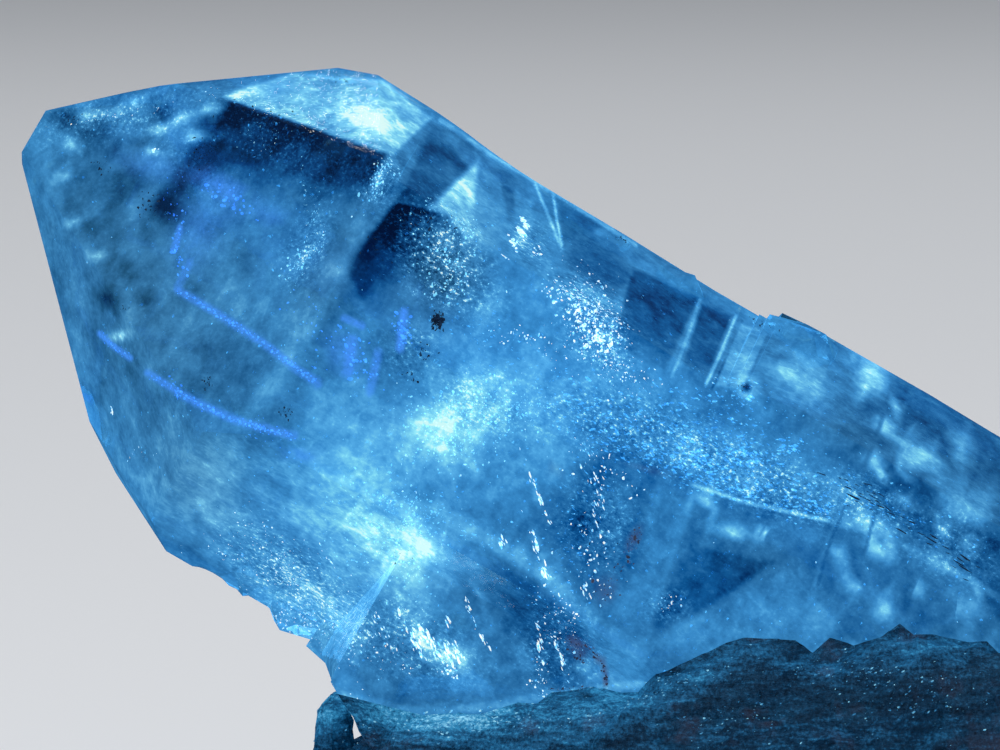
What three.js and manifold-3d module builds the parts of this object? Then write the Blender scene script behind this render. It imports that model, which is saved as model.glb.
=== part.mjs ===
// A natural quartz point on its rough, broken foot, about 30 mm long.
//
// The crystal is one piece: a six-sided prism under a blunt pyramid, leaning so that its long axis
// rises 30 degrees from the surface it rests on. Growth steps cross the prism faces, chips and lumps
// sit along its upper edge, a parallel crystal widens its underside, and a rough mass wraps the foot.
// The underside is one flat face, on which the specimen stands. Units are millimetres, +Z is up.
import * as THREE from "three";
import { mergeVertices } from "three/addons/utils/BufferGeometryUtils.js";
import Module from "manifold-3d";

const wasm = await Module();
wasm.setup();

// ---- Driving dimensions -------------------------------------------------------------------------
// The crystal is laid out from its tip. "Down" runs along the long axis from the tip to the foot,
// "across" runs at right angles to it towards the underside, and "out" runs towards the front.
const AXIS_RISE = 30; // degrees from the resting surface to the long axis
const REST_DEPTH = 16.3; // the resting surface lies this far below the tip
const RHOMB_ANGLE = 38.2; // degrees from a quartz pyramid face to the long axis
const STEEP_ANGLE = 41.3; // the same for the two pyramid faces on the underside
const BLOCK = 160; // edge of the raw block that every flat-faced solid is cut from

// Each prism face: the way it faces, in degrees from the front towards the underside, its distance
// from the long axis, and the slope and offset of the pyramid face above it, where it has one.
const FACES = {
  front: { turn: -6.5, reach: 6.33, slope: RHOMB_ANGLE, lift: 0.0 },
  upperFront: { turn: -66.5, reach: 5.5 },
  upperBack: { turn: -126.5, reach: 2.95, slope: RHOMB_ANGLE, lift: 0.265 },
  back: { turn: 173.5, reach: 5.4, slope: RHOMB_ANGLE, lift: -0.236 },
  lowerBack: { turn: 113.5, reach: 5.62, slope: STEEP_ANGLE, lift: 0.507 },
  lowerFront: { turn: 53.5, reach: 6.72, slope: STEEP_ANGLE, lift: 0.507 },
};

// The bevels on the two shoulders, the first one the broad facet over the upper front face, and the
// two that wear off the end of the tip, the last ones: slope to the axis, side (-1 upper, 1 under), lean towards the
// front in degrees, and a point that the bevel passes through as [down, across, out].
const SHOULDER_BEVELS = [
  { slope: 34.4, side: -1, lean: 27.5, through: [3.57, -2.82, 2.5] },
  { slope: 35.7, side: -1, lean: -4, through: [2.17, -2.334, 1.3] },
  { slope: 29.9, side: -1, lean: -9, through: [4.66, -4.22, 1.25] },
  { slope: 31.0, side: 1, lean: 7, through: [4.505, 5.28, 0] },
  { slope: 42.7, side: -1, lean: 0, through: [1.108, -1.362, 0] },
  { slope: 60, side: 1, lean: 0, through: [0.248, 0.804, 0] },
];

// Growth steps: where each one starts, down from the tip, and how far each face is set in there.
const STEP_OVERLAP = 0.03;
const GROWTH_STEPS = [
  { start: -1.0, upper: 0.0, front: 0.0, lower: 0.0, back: 0.0 },
  { start: 8.05, upper: 0.05, front: 0.0, lower: 0.0, back: 0.05 },
  { start: 8.5, upper: 0.08, front: 0.02, lower: 0.0, back: 0.05 },
  { start: 8.95, upper: 0.12, front: 0.02, lower: 0.03, back: 0.02 },
  { start: 9.4, upper: 0.17, front: 0.05, lower: 0.05, back: 0.0 },
  { start: 9.85, upper: 0.21, front: 0.03, lower: 0.05, back: 0.04 },
  { start: 10.4, upper: 0.25, front: 0.0, lower: 0.08, back: 0.08 },
  { start: 10.95, upper: 0.27, front: 0.0, lower: 0.12, back: 0.12 },
  { start: 11.6, upper: 0.28, front: 0.0, lower: 0.04, back: 0.1 },
  { start: 13.3, upper: 0.3, front: 0.05, lower: 0.08, back: 0.0 },
  { start: 15.75, upper: 0.37, front: 0.06, lower: 0.1, back: 0.08 },
  { start: 16.95, upper: 0.26, front: 0.03, lower: 0.12, back: 0.0 },
  { start: 17.15, upper: 0.15, front: 0.03, lower: 0.08, back: 0.04 },
  { start: 17.4, upper: 0.03, front: 0.03, lower: 0.04, back: 0.08 },
  { start: 18.9, upper: 0.0, front: 0.0, lower: 0.08, back: 0.04 },
  { start: 21.3, upper: 0.02, front: 0.03, lower: 0.12, back: 0.05 },
  { start: 23.0, upper: 0.05, front: 0.06, lower: 0.04, back: 0.12 },
  { start: 25.2, upper: 0.02, front: 0.02, lower: 0.0, back: 0.0 },
];
const STEP_GROUP = {
  front: "front",
  upperFront: "upper",
  upperBack: "upper",
  back: "back",
  lowerBack: "lower",
  lowerFront: "lower",
};
const CRYSTAL_END = 34; // the prism is made this long, then broken off

// The broken end: a few uneven faces. Each one faces along +X, then turned towards the back and
// tilted up, in degrees, and passes through a point [x, y, z] measured from the tip.
const BREAK_FACES = [
  { turn: -16, tilt: 9, through: [28.3, -2.0, -11.0] },
  { turn: 27, tilt: 17, through: [28.0, 2.2, -11.5] },
  { turn: 3, tilt: 46, through: [26.9, 0.0, -9.3] },
  { turn: -44, tilt: 5, through: [28.2, -4.6, -14.0] },
];

// The parallel crystal that widens the underside. Its own sloping tip face starts at `through`.
const FLANK = {
  slope: 31.8,
  through: [12.05, 7.13],
  end: 27,
  reach: { front: 5.25, upperFront: 2.6, upperBack: 1.8, back: 4.7, lowerBack: 9.3, lowerFront: 9.6 },
};

// Flat-faced flakes and lumps on the crystal: centre as [down, across, out], size along each of
// those ways, and a turn about the long axis in degrees.
const LUMPS = [
  { at: [18.2, -4.42, 1.9], size: [2.7, 1.42, 3.4], turn: 16 },
  { at: [17.5, -4.2, 2.6], size: [1.5, 1.1, 2.4], turn: -14 },
  { at: [13.35, -4.4, 2.0], size: [0.9, 0.7, 1.6], turn: 10 },
  { at: [15.0, -4.3, 2.4], size: [1.6, 0.62, 1.8], turn: 30 },
  { at: [9.7, 6.35, 1.7], size: [1.5, 1.3, 2.4], turn: 12 },
  { at: [11.2, 6.5, 1.3], size: [2.4, 1.3, 2.8], turn: -20 },
  { at: [12.8, 6.8, 2.6], size: [2.8, 1.4, 2.6], turn: 15 },
];

// Scooped chips, given in the same way.
const CHIPS = [
  { at: [0.0, -0.1, 0.6], size: [0.5, 1.4, 0.7], turn: 0 },
  { at: [13.9, -4.95, 1.6], size: [0.35, 0.25, 0.8], turn: 10 },
  { at: [17.0, -5.05, 1.8], size: [0.9, 0.8, 1.3], turn: 0 },
  { at: [8.95, 7.12, 1.9], size: [1.3, 0.6, 2.2], turn: 10 },
  { at: [10.35, 7.15, 1.7], size: [0.8, 0.55, 1.8], turn: -12 },
  { at: [22.4, -5.35, 1.9], size: [1.4, 0.5, 1.4], turn: 15 },
  { at: [13.8, -0.6, -6.0], size: [2.4, 1.6, 1.5], turn: 0 },
  { at: [19.6, 2.2, -6.1], size: [3.0, 2.2, 1.6], turn: 20 },
  { at: [5.6, 4.3, -2.9], size: [3.4, 1.5, 2.2], turn: 35 },
];

// Deep scoops that roughen the broken end: centre [x, y, z] from the tip, and radii.
const BREAK_SCOOPS = [
  { at: [29.6, -2.6, -10.6], size: [2.6, 3.4, 2.8] },
  { at: [30.2, 2.4, -12.6], size: [2.6, 2.8, 3.4] },
  { at: [29.9, -0.4, -15.0], size: [2.0, 2.6, 1.9] },
];

// The rough foot, as stations along x from the tip: the height of its crest, and how far it reaches
// to the front and to the back.
const FOOT_STATIONS = [
  { x: 5.4, crest: -16.0, front: 0.4, back: 3.4 },
  { x: 6.2, crest: -15.5, front: 2.2, back: 4.2 },
  { x: 7.2, crest: -15.2, front: 5.0, back: 4.8 },
  { x: 7.9, crest: -14.85, front: 7.0, back: 5.1 },
  { x: 8.5, crest: -13.75, front: 7.7, back: 5.2 },
  { x: 10.3, crest: -13.5, front: 8.0, back: 5.5 },
  { x: 12.4, crest: -13.35, front: 8.0, back: 5.8 },
  { x: 14.3, crest: -12.95, front: 8.1, back: 6.2 },
  { x: 15.5, crest: -12.35, front: 8.2, back: 6.4 },
  { x: 16.8, crest: -11.8, front: 8.1, back: 6.4 },
  { x: 17.6, crest: -11.8, front: 8.0, back: 6.5 },
  { x: 18.5, crest: -12.2, front: 8.0, back: 6.6 },
  { x: 19.2, crest: -12.0, front: 8.2, back: 6.6 },
  { x: 19.9, crest: -11.75, front: 8.3, back: 6.6 },
  { x: 20.6, crest: -12.0, front: 8.2, back: 6.5 },
  { x: 21.8, crest: -11.8, front: 8.1, back: 6.5 },
  { x: 23.6, crest: -11.55, front: 8.0, back: 6.4 },
  { x: 25.4, crest: -11.25, front: 7.8, back: 6.3 },
  { x: 27.0, crest: -11.85, front: 7.5, back: 6.1 },
  { x: 28.4, crest: -12.95, front: 6.7, back: 5.7 },
  { x: 29.3, crest: -14.55, front: 5.6, back: 4.9 },
  { x: 29.8, crest: -15.5, front: 3.6, back: 3.4 },
];
const FOOT = {
  rings: 62, // sections along x
  sides: 54, // points around each section, without its underside
  wallLean: 0.5, // the walls draw in by this much from the floor to the crest
  shoulder: 1.3, // size of the rounded corners beside the crest
  depthBelow: 0.6, // the raw form reaches this far under the resting surface, then is cut flat
  ledges: { height: 0.42, spacing: 1.35, climb: 0.22, wander: 1.3 },
  lumps: { height: 0.5, length: 2.9 },
  pits: { height: 0.24, length: 0.95 },
  fade: 0.9, // the roughness fades out over this height above the resting surface
};

// A stubby side crystal behind the foot's left end: its base and top, and its radii there.
const STUB = {
  base: [6.95, 2.5, -16.8],
  top: [7.12, 2.3, -13.45],
  baseRadius: 0.84,
  shoulderRadius: 0.48,
  shoulderAt: 0.86, // share of its height
  tipRadius: 0.16,
  sides: 7,
};

// ---- Directions ---------------------------------------------------------------------------------
const radians = THREE.MathUtils.degToRad;
const DOWN = new THREE.Vector3(Math.cos(radians(AXIS_RISE)), 0, -Math.sin(radians(AXIS_RISE)));
const ACROSS = new THREE.Vector3(-Math.sin(radians(AXIS_RISE)), 0, -Math.cos(radians(AXIS_RISE)));
const OUT = new THREE.Vector3(0, -1, 0);

// A point or direction given by its shares of down, across and out.
function crystalVector(down, across, out) {
  return new THREE.Vector3()
    .addScaledVector(DOWN, down)
    .addScaledVector(ACROSS, across)
    .addScaledVector(OUT, out);
}

// ---- Solids -------------------------------------------------------------------------------------
// A three.js geometry as a solid, placed by a matrix.
function solidOf(geometry, matrix = new THREE.Matrix4()) {
  const shape = (geometry.index ? geometry.toNonIndexed() : geometry.clone()).applyMatrix4(matrix);
  shape.deleteAttribute("normal");
  shape.deleteAttribute("uv");
  const merged = mergeVertices(shape, 1e-4);
  return new wasm.Manifold(
    new wasm.Mesh({
      numProp: 3,
      vertProperties: new Float32Array(merged.attributes.position.array),
      triVerts: new Uint32Array(merged.index.array),
    }),
  );
}

// A flat-faced solid: the block that lies inside every plane. A plane is { normal, reach }.
function cutBlock(planes) {
  return planes.reduce(
    (solid, { normal, reach }) => solid.trimByPlane(normal.clone().negate().toArray(), -reach),
    solidOf(new THREE.BoxGeometry(BLOCK, BLOCK, BLOCK)),
  );
}

// A plane that faces `normal` and passes through a point.
function planeThrough(normal, point) {
  return { normal, reach: normal.dot(point) };
}

// The direction of a prism face.
function faceNormal(turn) {
  return crystalVector(0, Math.sin(radians(turn)), Math.cos(radians(turn)));
}

function prismPlane(name, inset) {
  return { normal: faceNormal(FACES[name].turn), reach: FACES[name].reach - inset };
}

function pyramidPlane({ turn, slope, lift }) {
  const normal = faceNormal(turn)
    .multiplyScalar(Math.cos(radians(slope)))
    .addScaledVector(DOWN, -Math.sin(radians(slope)));
  return { normal, reach: lift * Math.cos(radians(slope)) };
}

function shoulderPlane({ slope, side, through, lean }) {
  const normal = crystalVector(
    -Math.sin(radians(slope)) * Math.cos(radians(lean)),
    side * Math.cos(radians(slope)) * Math.cos(radians(lean)),
    Math.sin(radians(lean)),
  );
  return planeThrough(normal, crystalVector(...through));
}

// The main crystal: one slab for each growth step, under the shared pyramid.
function mainCrystal() {
  const pyramid = Object.values(FACES).filter(({ slope }) => slope !== undefined);
  const tip = [...pyramid.map(pyramidPlane), ...SHOULDER_BEVELS.map(shoulderPlane)];
  const slabs = GROWTH_STEPS.map((step, i) => {
    const end = i + 1 < GROWTH_STEPS.length ? GROWTH_STEPS[i + 1].start : CRYSTAL_END;
    return cutBlock([
      ...tip,
      ...Object.keys(FACES).map((name) => prismPlane(name, step[STEP_GROUP[name]])),
      { normal: DOWN.clone(), reach: end + STEP_OVERLAP },
      { normal: DOWN.clone().negate(), reach: -step.start },
    ]);
  });
  return slabs.reduce((crystal, slab) => crystal.add(slab));
}

// The parallel crystal under the main one.
function flankCrystal() {
  const slope = radians(FLANK.slope);
  return cutBlock([
    ...Object.keys(FACES).map((name) => ({
      normal: faceNormal(FACES[name].turn),
      reach: FLANK.reach[name],
    })),
    planeThrough(
      crystalVector(-Math.sin(slope), Math.cos(slope), 0),
      crystalVector(...FLANK.through, 0),
    ),
    { normal: DOWN.clone(), reach: FLANK.end },
    { normal: DOWN.clone().negate(), reach: -FLANK.through[0] },
  ]);
}

// The matrix of a lump or chip: its size along down, across and out, its turn, then its place.
function crystalMatrix({ at, size, turn = 0 }) {
  const axes = new THREE.Matrix4().makeBasis(DOWN, ACROSS, OUT);
  return new THREE.Matrix4()
    .setPosition(crystalVector(...at))
    .multiply(axes)
    .multiply(new THREE.Matrix4().makeRotationX(radians(turn)))
    .multiply(new THREE.Matrix4().makeScale(...size.map((length) => length / 2)));
}

// A unit ball with few flat faces, turned right side out for a frame that mirrors it.
function facetedBall(detail) {
  const ball = new THREE.IcosahedronGeometry(1, detail);
  return ball.applyMatrix4(new THREE.Matrix4().makeRotationZ(0.4));
}

// A lump or chip as a solid. The crystal's frame is left-handed, so the ball is mirrored with it.
function crystalBlob(blob, detail) {
  const ball = facetedBall(detail);
  const position = ball.attributes.position;
  const mirrored = new Float32Array(position.array.length);
  for (let corner = 0; corner < position.count; corner++) {
    const swapped = corner % 3 === 0 ? corner : corner % 3 === 1 ? corner + 1 : corner - 1;
    mirrored.set([position.getX(corner), position.getY(corner), position.getZ(corner)], swapped * 3);
  }
  ball.setAttribute("position", new THREE.BufferAttribute(mirrored, 3));
  return solidOf(ball, crystalMatrix(blob));
}

function breakPlane({ turn, tilt, through }) {
  const normal = new THREE.Vector3(1, 0, 0)
    .applyAxisAngle(new THREE.Vector3(0, 1, 0), -radians(tilt))
    .applyAxisAngle(new THREE.Vector3(0, 0, 1), radians(turn));
  return planeThrough(normal, new THREE.Vector3(...through));
}

function breakScoop({ at, size }) {
  const place = new THREE.Matrix4().makeTranslation(...at);
  return solidOf(facetedBall(2), place.multiply(new THREE.Matrix4().makeScale(...size)));
}

// ---- The rough foot -----------------------------------------------------------------------------
// A repeatable number from 0 to 1 for a grid point.
function gridNoise(i, j, k) {
  const wave = Math.sin(i * 127.1 + j * 311.7 + k * 74.7) * 43758.5453;
  return wave - Math.floor(wave);
}

// Smooth noise from -1 to 1 that varies over a unit of length.
function smoothNoise(x, y, z) {
  const cell = [x, y, z].map(Math.floor);
  const share = [x, y, z].map((value, i) => {
    const t = value - cell[i];
    return t * t * (3 - 2 * t);
  });
  let sum = 0;
  for (let corner = 0; corner < 8; corner++) {
    const bit = [corner & 1, (corner >> 1) & 1, (corner >> 2) & 1];
    const weight = bit.reduce((all, on, i) => all * (on ? share[i] : 1 - share[i]), 1);
    sum += weight * gridNoise(cell[0] + bit[0], cell[1] + bit[1], cell[2] + bit[2]);
  }
  return 2 * sum - 1;
}

// How far the foot's skin stands out: ledges that climb to the right, with lumps and pits on them.
function footRelief(x, y, z) {
  const { ledges, lumps, pits } = FOOT;
  const wander = smoothNoise(x / 3.1, y / 3.1, z / 3.1);
  const level = (z - ledges.climb * x) / ledges.spacing + ledges.wander * wander;
  const lip = level - Math.floor(level);
  const lump = smoothNoise(x / lumps.length + 5, y / lumps.length, z / lumps.length);
  const pit = smoothNoise(x / pits.length, y / pits.length, z / pits.length + 9);
  const aboveRest = THREE.MathUtils.smoothstep(z + REST_DEPTH, 0, FOOT.fade);
  const relief = ledges.height * (lip * lip - 0.4) + lumps.height * lump + pits.height * pit;
  return relief * aboveRest;
}

// A foot station at any x, blended between its two neighbours.
function footAt(x) {
  const last = FOOT_STATIONS.length - 1;
  let i = 0;
  while (i < last - 1 && FOOT_STATIONS[i + 1].x < x) i++;
  const [a, b] = [FOOT_STATIONS[i], FOOT_STATIONS[i + 1]];
  const t = THREE.MathUtils.clamp((x - a.x) / (b.x - a.x), 0, 1);
  const mix = (key) => THREE.MathUtils.lerp(a[key], b[key], t);
  return { crest: mix("crest"), front: mix("front"), back: mix("back") };
}

// One section of the foot, up the front wall, over the crest and down the back wall, roughened.
function footSection(x) {
  const { crest, front, back } = footAt(x);
  const floor = -REST_DEPTH - FOOT.depthBelow;
  const round = Math.min(FOOT.shoulder, 0.45 * (crest - floor));
  const [left, right] = [-front + FOOT.wallLean, back - FOOT.wallLean];
  const outline = new THREE.Path()
    .moveTo(-front, floor)
    .lineTo(left, crest - round)
    .quadraticCurveTo(left, crest, left + round, crest)
    .lineTo(right - round, crest)
    .quadraticCurveTo(right, crest, right, crest - round)
    .lineTo(back, floor);
  const points = outline.getSpacedPoints(FOOT.sides - 1);
  return points.map((point, i) => {
    const before = points[Math.max(i - 1, 0)];
    const after = points[Math.min(i + 1, points.length - 1)];
    const along = after.clone().sub(before).normalize();
    const relief = footRelief(x, point.x, point.y);
    return new THREE.Vector3(x, point.x - along.y * relief, point.y + along.x * relief);
  });
}

// The foot: its sections joined into a skin and closed by a fan at each end.
function roughFoot() {
  const { rings, sides } = FOOT;
  const [first, last] = [FOOT_STATIONS[0].x, FOOT_STATIONS.at(-1).x];
  const loops = Array.from({ length: rings }, (_, i) =>
    footSection(THREE.MathUtils.lerp(first, last, i / (rings - 1))),
  );
  const middle = (loop) =>
    loop.reduce((sum, p) => sum.add(p), new THREE.Vector3()).divideScalar(loop.length);
  const [startPole, endPole] = [middle(loops[0]), middle(loops[rings - 1])];
  const corners = [];
  const triangle = (...points) => points.forEach((p) => corners.push(p.x, p.y, p.z));
  for (let j = 0; j < sides; j++) {
    const next = (j + 1) % sides;
    triangle(startPole, loops[0][j], loops[0][next]);
    triangle(endPole, loops[rings - 1][next], loops[rings - 1][j]);
    for (let i = 0; i + 1 < rings; i++) {
      triangle(loops[i][j], loops[i + 1][j], loops[i + 1][next]);
      triangle(loops[i][j], loops[i + 1][next], loops[i][next]);
    }
  }
  const skin = new THREE.BufferGeometry();
  skin.setAttribute("position", new THREE.BufferAttribute(new Float32Array(corners), 3));
  return solidOf(skin);
}

// The stubby side crystal: a turned profile with few sides, leaning a little.
function sideStub() {
  const [base, top] = [new THREE.Vector3(...STUB.base), new THREE.Vector3(...STUB.top)];
  const height = base.distanceTo(top);
  const profile = [
    new THREE.Vector2(0, 0),
    new THREE.Vector2(STUB.baseRadius, 0),
    new THREE.Vector2(STUB.shoulderRadius, height * STUB.shoulderAt),
    new THREE.Vector2(STUB.tipRadius, height),
    new THREE.Vector2(0, height),
  ];
  const upright = new THREE.Vector3(0, 1, 0);
  const lean = new THREE.Quaternion().setFromUnitVectors(
    upright,
    top.clone().sub(base).normalize(),
  );
  const place = new THREE.Matrix4().compose(base, lean, new THREE.Vector3(1, 1, 1));
  return solidOf(new THREE.LatheGeometry(profile, STUB.sides), place);
}

// ---- The whole specimen -------------------------------------------------------------------------
function quartzSolid() {
  let crystal = mainCrystal().add(flankCrystal());
  LUMPS.forEach((lump) => (crystal = crystal.add(crystalBlob(lump, 0))));
  CHIPS.forEach((chip) => (crystal = crystal.subtract(crystalBlob(chip, 1))));
  BREAK_FACES.map(breakPlane).forEach(({ normal, reach }) => {
    crystal = crystal.trimByPlane(normal.negate().toArray(), -reach);
  });
  BREAK_SCOOPS.forEach((scoop) => (crystal = crystal.subtract(breakScoop(scoop))));
  return crystal.add(roughFoot()).add(sideStub()).trimByPlane([0, 0, 1], -REST_DEPTH);
}

// A solid as a three.js geometry.
function geometryOf(solid) {
  const mesh = solid.getMesh();
  const geometry = new THREE.BufferGeometry();
  geometry.setAttribute("position", new THREE.BufferAttribute(mesh.vertProperties, 3));
  geometry.setIndex(new THREE.BufferAttribute(mesh.triVerts, 1));
  return geometry;
}

const quartz = new THREE.MeshStandardMaterial({ color: 0x3f8fd8, roughness: 0.12, metalness: 0 });
const geometry = geometryOf(quartzSolid());
geometry.computeVertexNormals();

// The origin is under the middle of the specimen, on the surface it rests on.
geometry.computeBoundingBox();
const { min, max } = geometry.boundingBox;
const crystal = new THREE.Mesh(geometry, quartz);
crystal.name = "quartz_crystal";
crystal.position.set(-(min.x + max.x) / 2, -(min.y + max.y) / 2, -min.z);

const specimen = new THREE.Group();
specimen.name = "specimen";
specimen.add(crystal);

export default specimen;
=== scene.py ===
# %% [markdown]
# # A petroleum quartz point
# The real thing is one clear quartz crystal, about 30 mm long, that grew round drops of oil. It
# glows blue, and its inside is full of haze, glowing clouds, healed cracks and sparkling bubbles.
# Its foot is rough and broken. The outer shape comes from the CAD frame. This script dresses it:
# clear quartz on the faces, rough stone on the foot, and the inclusions inside as small pieces.

# %% Tools and the frame
import math
import random

import bmesh
import bpy
import numpy as np
from mathutils import Matrix, Vector, noise
from mathutils.bvhtree import BVHTree


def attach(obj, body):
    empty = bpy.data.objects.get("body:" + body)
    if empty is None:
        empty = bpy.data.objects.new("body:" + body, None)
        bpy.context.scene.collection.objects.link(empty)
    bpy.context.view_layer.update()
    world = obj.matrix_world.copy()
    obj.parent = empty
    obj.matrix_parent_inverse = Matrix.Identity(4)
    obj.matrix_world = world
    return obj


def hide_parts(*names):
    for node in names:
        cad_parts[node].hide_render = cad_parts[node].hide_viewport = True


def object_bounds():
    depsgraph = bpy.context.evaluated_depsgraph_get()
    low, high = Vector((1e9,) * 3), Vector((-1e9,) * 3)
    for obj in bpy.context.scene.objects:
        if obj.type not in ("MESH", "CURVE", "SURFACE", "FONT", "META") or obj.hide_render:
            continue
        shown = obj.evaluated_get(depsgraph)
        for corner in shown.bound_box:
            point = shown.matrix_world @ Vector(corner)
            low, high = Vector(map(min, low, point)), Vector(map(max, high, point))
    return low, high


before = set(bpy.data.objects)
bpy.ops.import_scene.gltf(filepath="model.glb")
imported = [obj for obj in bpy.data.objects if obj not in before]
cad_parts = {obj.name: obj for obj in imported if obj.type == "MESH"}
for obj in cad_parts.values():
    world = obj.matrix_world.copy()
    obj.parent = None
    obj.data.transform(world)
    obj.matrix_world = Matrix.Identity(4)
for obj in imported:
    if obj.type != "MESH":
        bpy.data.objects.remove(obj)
cad_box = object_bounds()
print("CAD box in mm:", [tuple(round(value * 1000, 2) for value in corner) for corner in cad_box])

# %% [markdown]
# ## Directions of the crystal
# A crystal is easiest to describe along its own axes. "Down" runs along its long axis from the
# tip to the foot, "across" runs at right angles to it towards the underside, and "out" runs
# towards the front. Places are given that way in millimetres, from the point where the pyramid
# faces would meet.

# %% Crystal axes
MM = 0.001
AXIS_RISE = math.radians(30)
APEX = Vector((-14.877, 0.755, 16.3)) * MM
DOWN = Vector((math.cos(AXIS_RISE), 0, -math.sin(AXIS_RISE)))
ACROSS = Vector((-math.sin(AXIS_RISE), 0, -math.cos(AXIS_RISE)))


def crystal_place(point):
    """A place in the frame as (down, across) in millimetres."""
    local = (point - APEX) / MM
    return local.dot(DOWN), local.dot(ACROSS)


# %% [markdown]
# ## Camera
# A small stone is looked at from 30 cm away through a long lens, nearly level with it.
# The lens is worked out from the width of the view at the crystal, so the shape keeps its
# proportions. The picture is 1000 units wide and 750 high.

# %% Camera
PICTURE = (1000, 750)
PIXEL = 12.0 / 512 * MM  # the prism is 12 mm across, which takes up 512 picture points
APEX_PIXEL = (30, 125)
CAMERA_DISTANCE = 0.30
CAMERA_RISE = math.radians(2.5)
VIEW_DIRECTION = Vector((0, math.cos(CAMERA_RISE), -math.sin(CAMERA_RISE)))
VIEW_RIGHT = Vector((1, 0, 0))
VIEW_UP = Vector((0, math.sin(CAMERA_RISE), math.cos(CAMERA_RISE)))


def picture_point(px, py):
    """The place that a picture point shows on the upright plane through the apex."""
    across_view = VIEW_RIGHT * (px - APEX_PIXEL[0]) * PIXEL
    return APEX + across_view - VIEW_UP * (py - APEX_PIXEL[1]) * PIXEL


camera = bpy.data.objects.new("camera", bpy.data.cameras.new("camera"))
bpy.context.scene.collection.objects.link(camera)
camera.location = picture_point(PICTURE[0] / 2, PICTURE[1] / 2) - VIEW_DIRECTION * CAMERA_DISTANCE
camera.rotation_mode = "QUATERNION"
camera.rotation_quaternion = VIEW_DIRECTION.to_track_quat("-Z", "Y")
camera.data.sensor_width = 36  # mm
camera.data.lens = camera.data.sensor_width * CAMERA_DISTANCE / (PICTURE[0] * PIXEL)
camera.data.clip_start, camera.data.clip_end = 0.01, 20
bpy.context.scene.camera = camera
print("lens in mm:", round(camera.data.lens))

# %% [markdown]
# ## Colours on screen
# The crystal's glow is a clean, strong blue and cyan. Blender's usual view bleaches strong
# colours as they get bright, so the plain view is used, which shows them as they are.

# %% View
bpy.context.scene.view_settings.view_transform = "Standard"

# %% [markdown]
# ## Light paths
# Light is followed through a few walls of the crystal only, because deeper paths are dark blue
# anyway. With so few lamps, picking them evenly is quicker than the light tree.

# %% Light paths
light_paths = bpy.context.scene.cycles
light_paths.max_bounces = 9
light_paths.transmission_bounces = 7
light_paths.glossy_bounces = 3
light_paths.diffuse_bounces = 2
light_paths.transparent_max_bounces = 12
light_paths.caustics_reflective = light_paths.caustics_refractive = False
light_paths.use_light_tree = False

# %% [markdown]
# ## Stage
# A plain pale floor, a pale room and soft lamps. A crystal that glows blue is looked at in low
# light, so what its faces mirror, and what is seen through them, is kept dim and bluish, and the
# floor and the large lamps aren't mirrored at all.


# %% Materials helper
def new_material(name):
    """An empty material: its node tree and its output node. It is never used as a lamp."""
    material = bpy.data.materials.new(name)
    material.use_nodes = True
    material.cycles.emission_sampling = "NONE"
    tree = material.node_tree
    tree.nodes.clear()
    return material, tree, tree.nodes.new("ShaderNodeOutputMaterial")


def add_node(tree, kind, values=None, **settings):
    """A node; a shader node goes by its short kind. `values` sets or links its inputs."""
    node = tree.nodes.new(kind if "Node" in kind else "ShaderNode" + kind)
    for key, setting in settings.items():
        setattr(node, key, setting)
    for key, value in (values or {}).items():
        if isinstance(value, bpy.types.NodeSocket):
            tree.links.new(value, node.inputs[key])
        else:
            node.inputs[key].default_value = value
    return node


def put_surface(tree, output, **values):
    """The material's surface; an input is named with _ for each space."""
    values = {key.replace("_", " "): value for key, value in values.items()}
    shader = add_node(tree, "BsdfPrincipled", values)
    tree.links.new(shader.outputs[0], output.inputs["Surface"])


# %% Floor, room and lamps
FLOOR_SIZE = 6.0
FLOOR_COLOUR = (0.80, 0.81, 0.83, 1)
ROOM_COLOUR = (0.93, 0.96, 1.0, 1)
ROOM_LIGHT = {"front": 0.30, "back": 0.52}
MIRRORED_LIGHT = {"low": (0.004, 0.010, 0.02, 1), "high": (0.05, 0.09, 0.14, 1)}
THROUGH_LIGHT = {"low": (0.002, 0.006, 0.014, 1), "high": (0.028, 0.080, 0.160, 1)}

bpy.ops.mesh.primitive_plane_add(size=FLOOR_SIZE)
floor = bpy.context.object
floor.name = "floor"
floor_material, tree, output = new_material("pale_floor")
put_surface(tree, output, Base_Color=FLOOR_COLOUR, Roughness=0.8)
floor.data.materials.append(floor_material)
floor.visible_transmission = floor.visible_glossy = False

room = bpy.data.worlds.new("room")
bpy.context.scene.world = room
room.use_nodes = True
tree = room.node_tree
direction = add_node(tree, "TexCoord").outputs["Generated"]
sides = add_node(tree, "SeparateXYZ", {"Vector": direction})
front, back = ROOM_LIGHT["front"], ROOM_LIGHT["back"]
reach = {"From Min": -1.0, "From Max": 1.0, "To Min": front, "To Max": back}
level = add_node(tree, "MapRange", {"Value": sides.outputs["Y"], **reach}).outputs["Result"]
room_light = tree.nodes["Background"]
room_light.inputs["Color"].default_value = ROOM_COLOUR
tree.links.new(level, room_light.inputs["Strength"])
rays = add_node(tree, "LightPath")
shown = room_light.outputs[0]
for kind, light in (("Is Glossy Ray", MIRRORED_LIGHT), ("Is Transmission Ray", THROUGH_LIGHT)):
    height_glow = add_node(tree, "ValToRGB", {"Fac": sides.outputs["Z"]})
    height_glow.color_ramp.elements[0].color = light["low"]
    height_glow.color_ramp.elements[1].color = light["high"]
    glow = add_node(tree, "Background", {"Color": height_glow.outputs["Color"]})
    either = add_node(tree, "MixShader", {0: rays.outputs[kind], 1: shown, 2: glow.outputs[0]})
    shown = either.outputs[0]
tree.links.new(shown, tree.nodes["World Output"].inputs["Surface"])

LAMP_AIM = Vector((0, 0, 0.01))
GLINT_DIRECTION = Vector((-0.0685, 0.537, 0.84))
GLINT_DISTANCE = 0.5
GLINT_COLOUR = (1.0, 0.93, 0.8)


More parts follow.
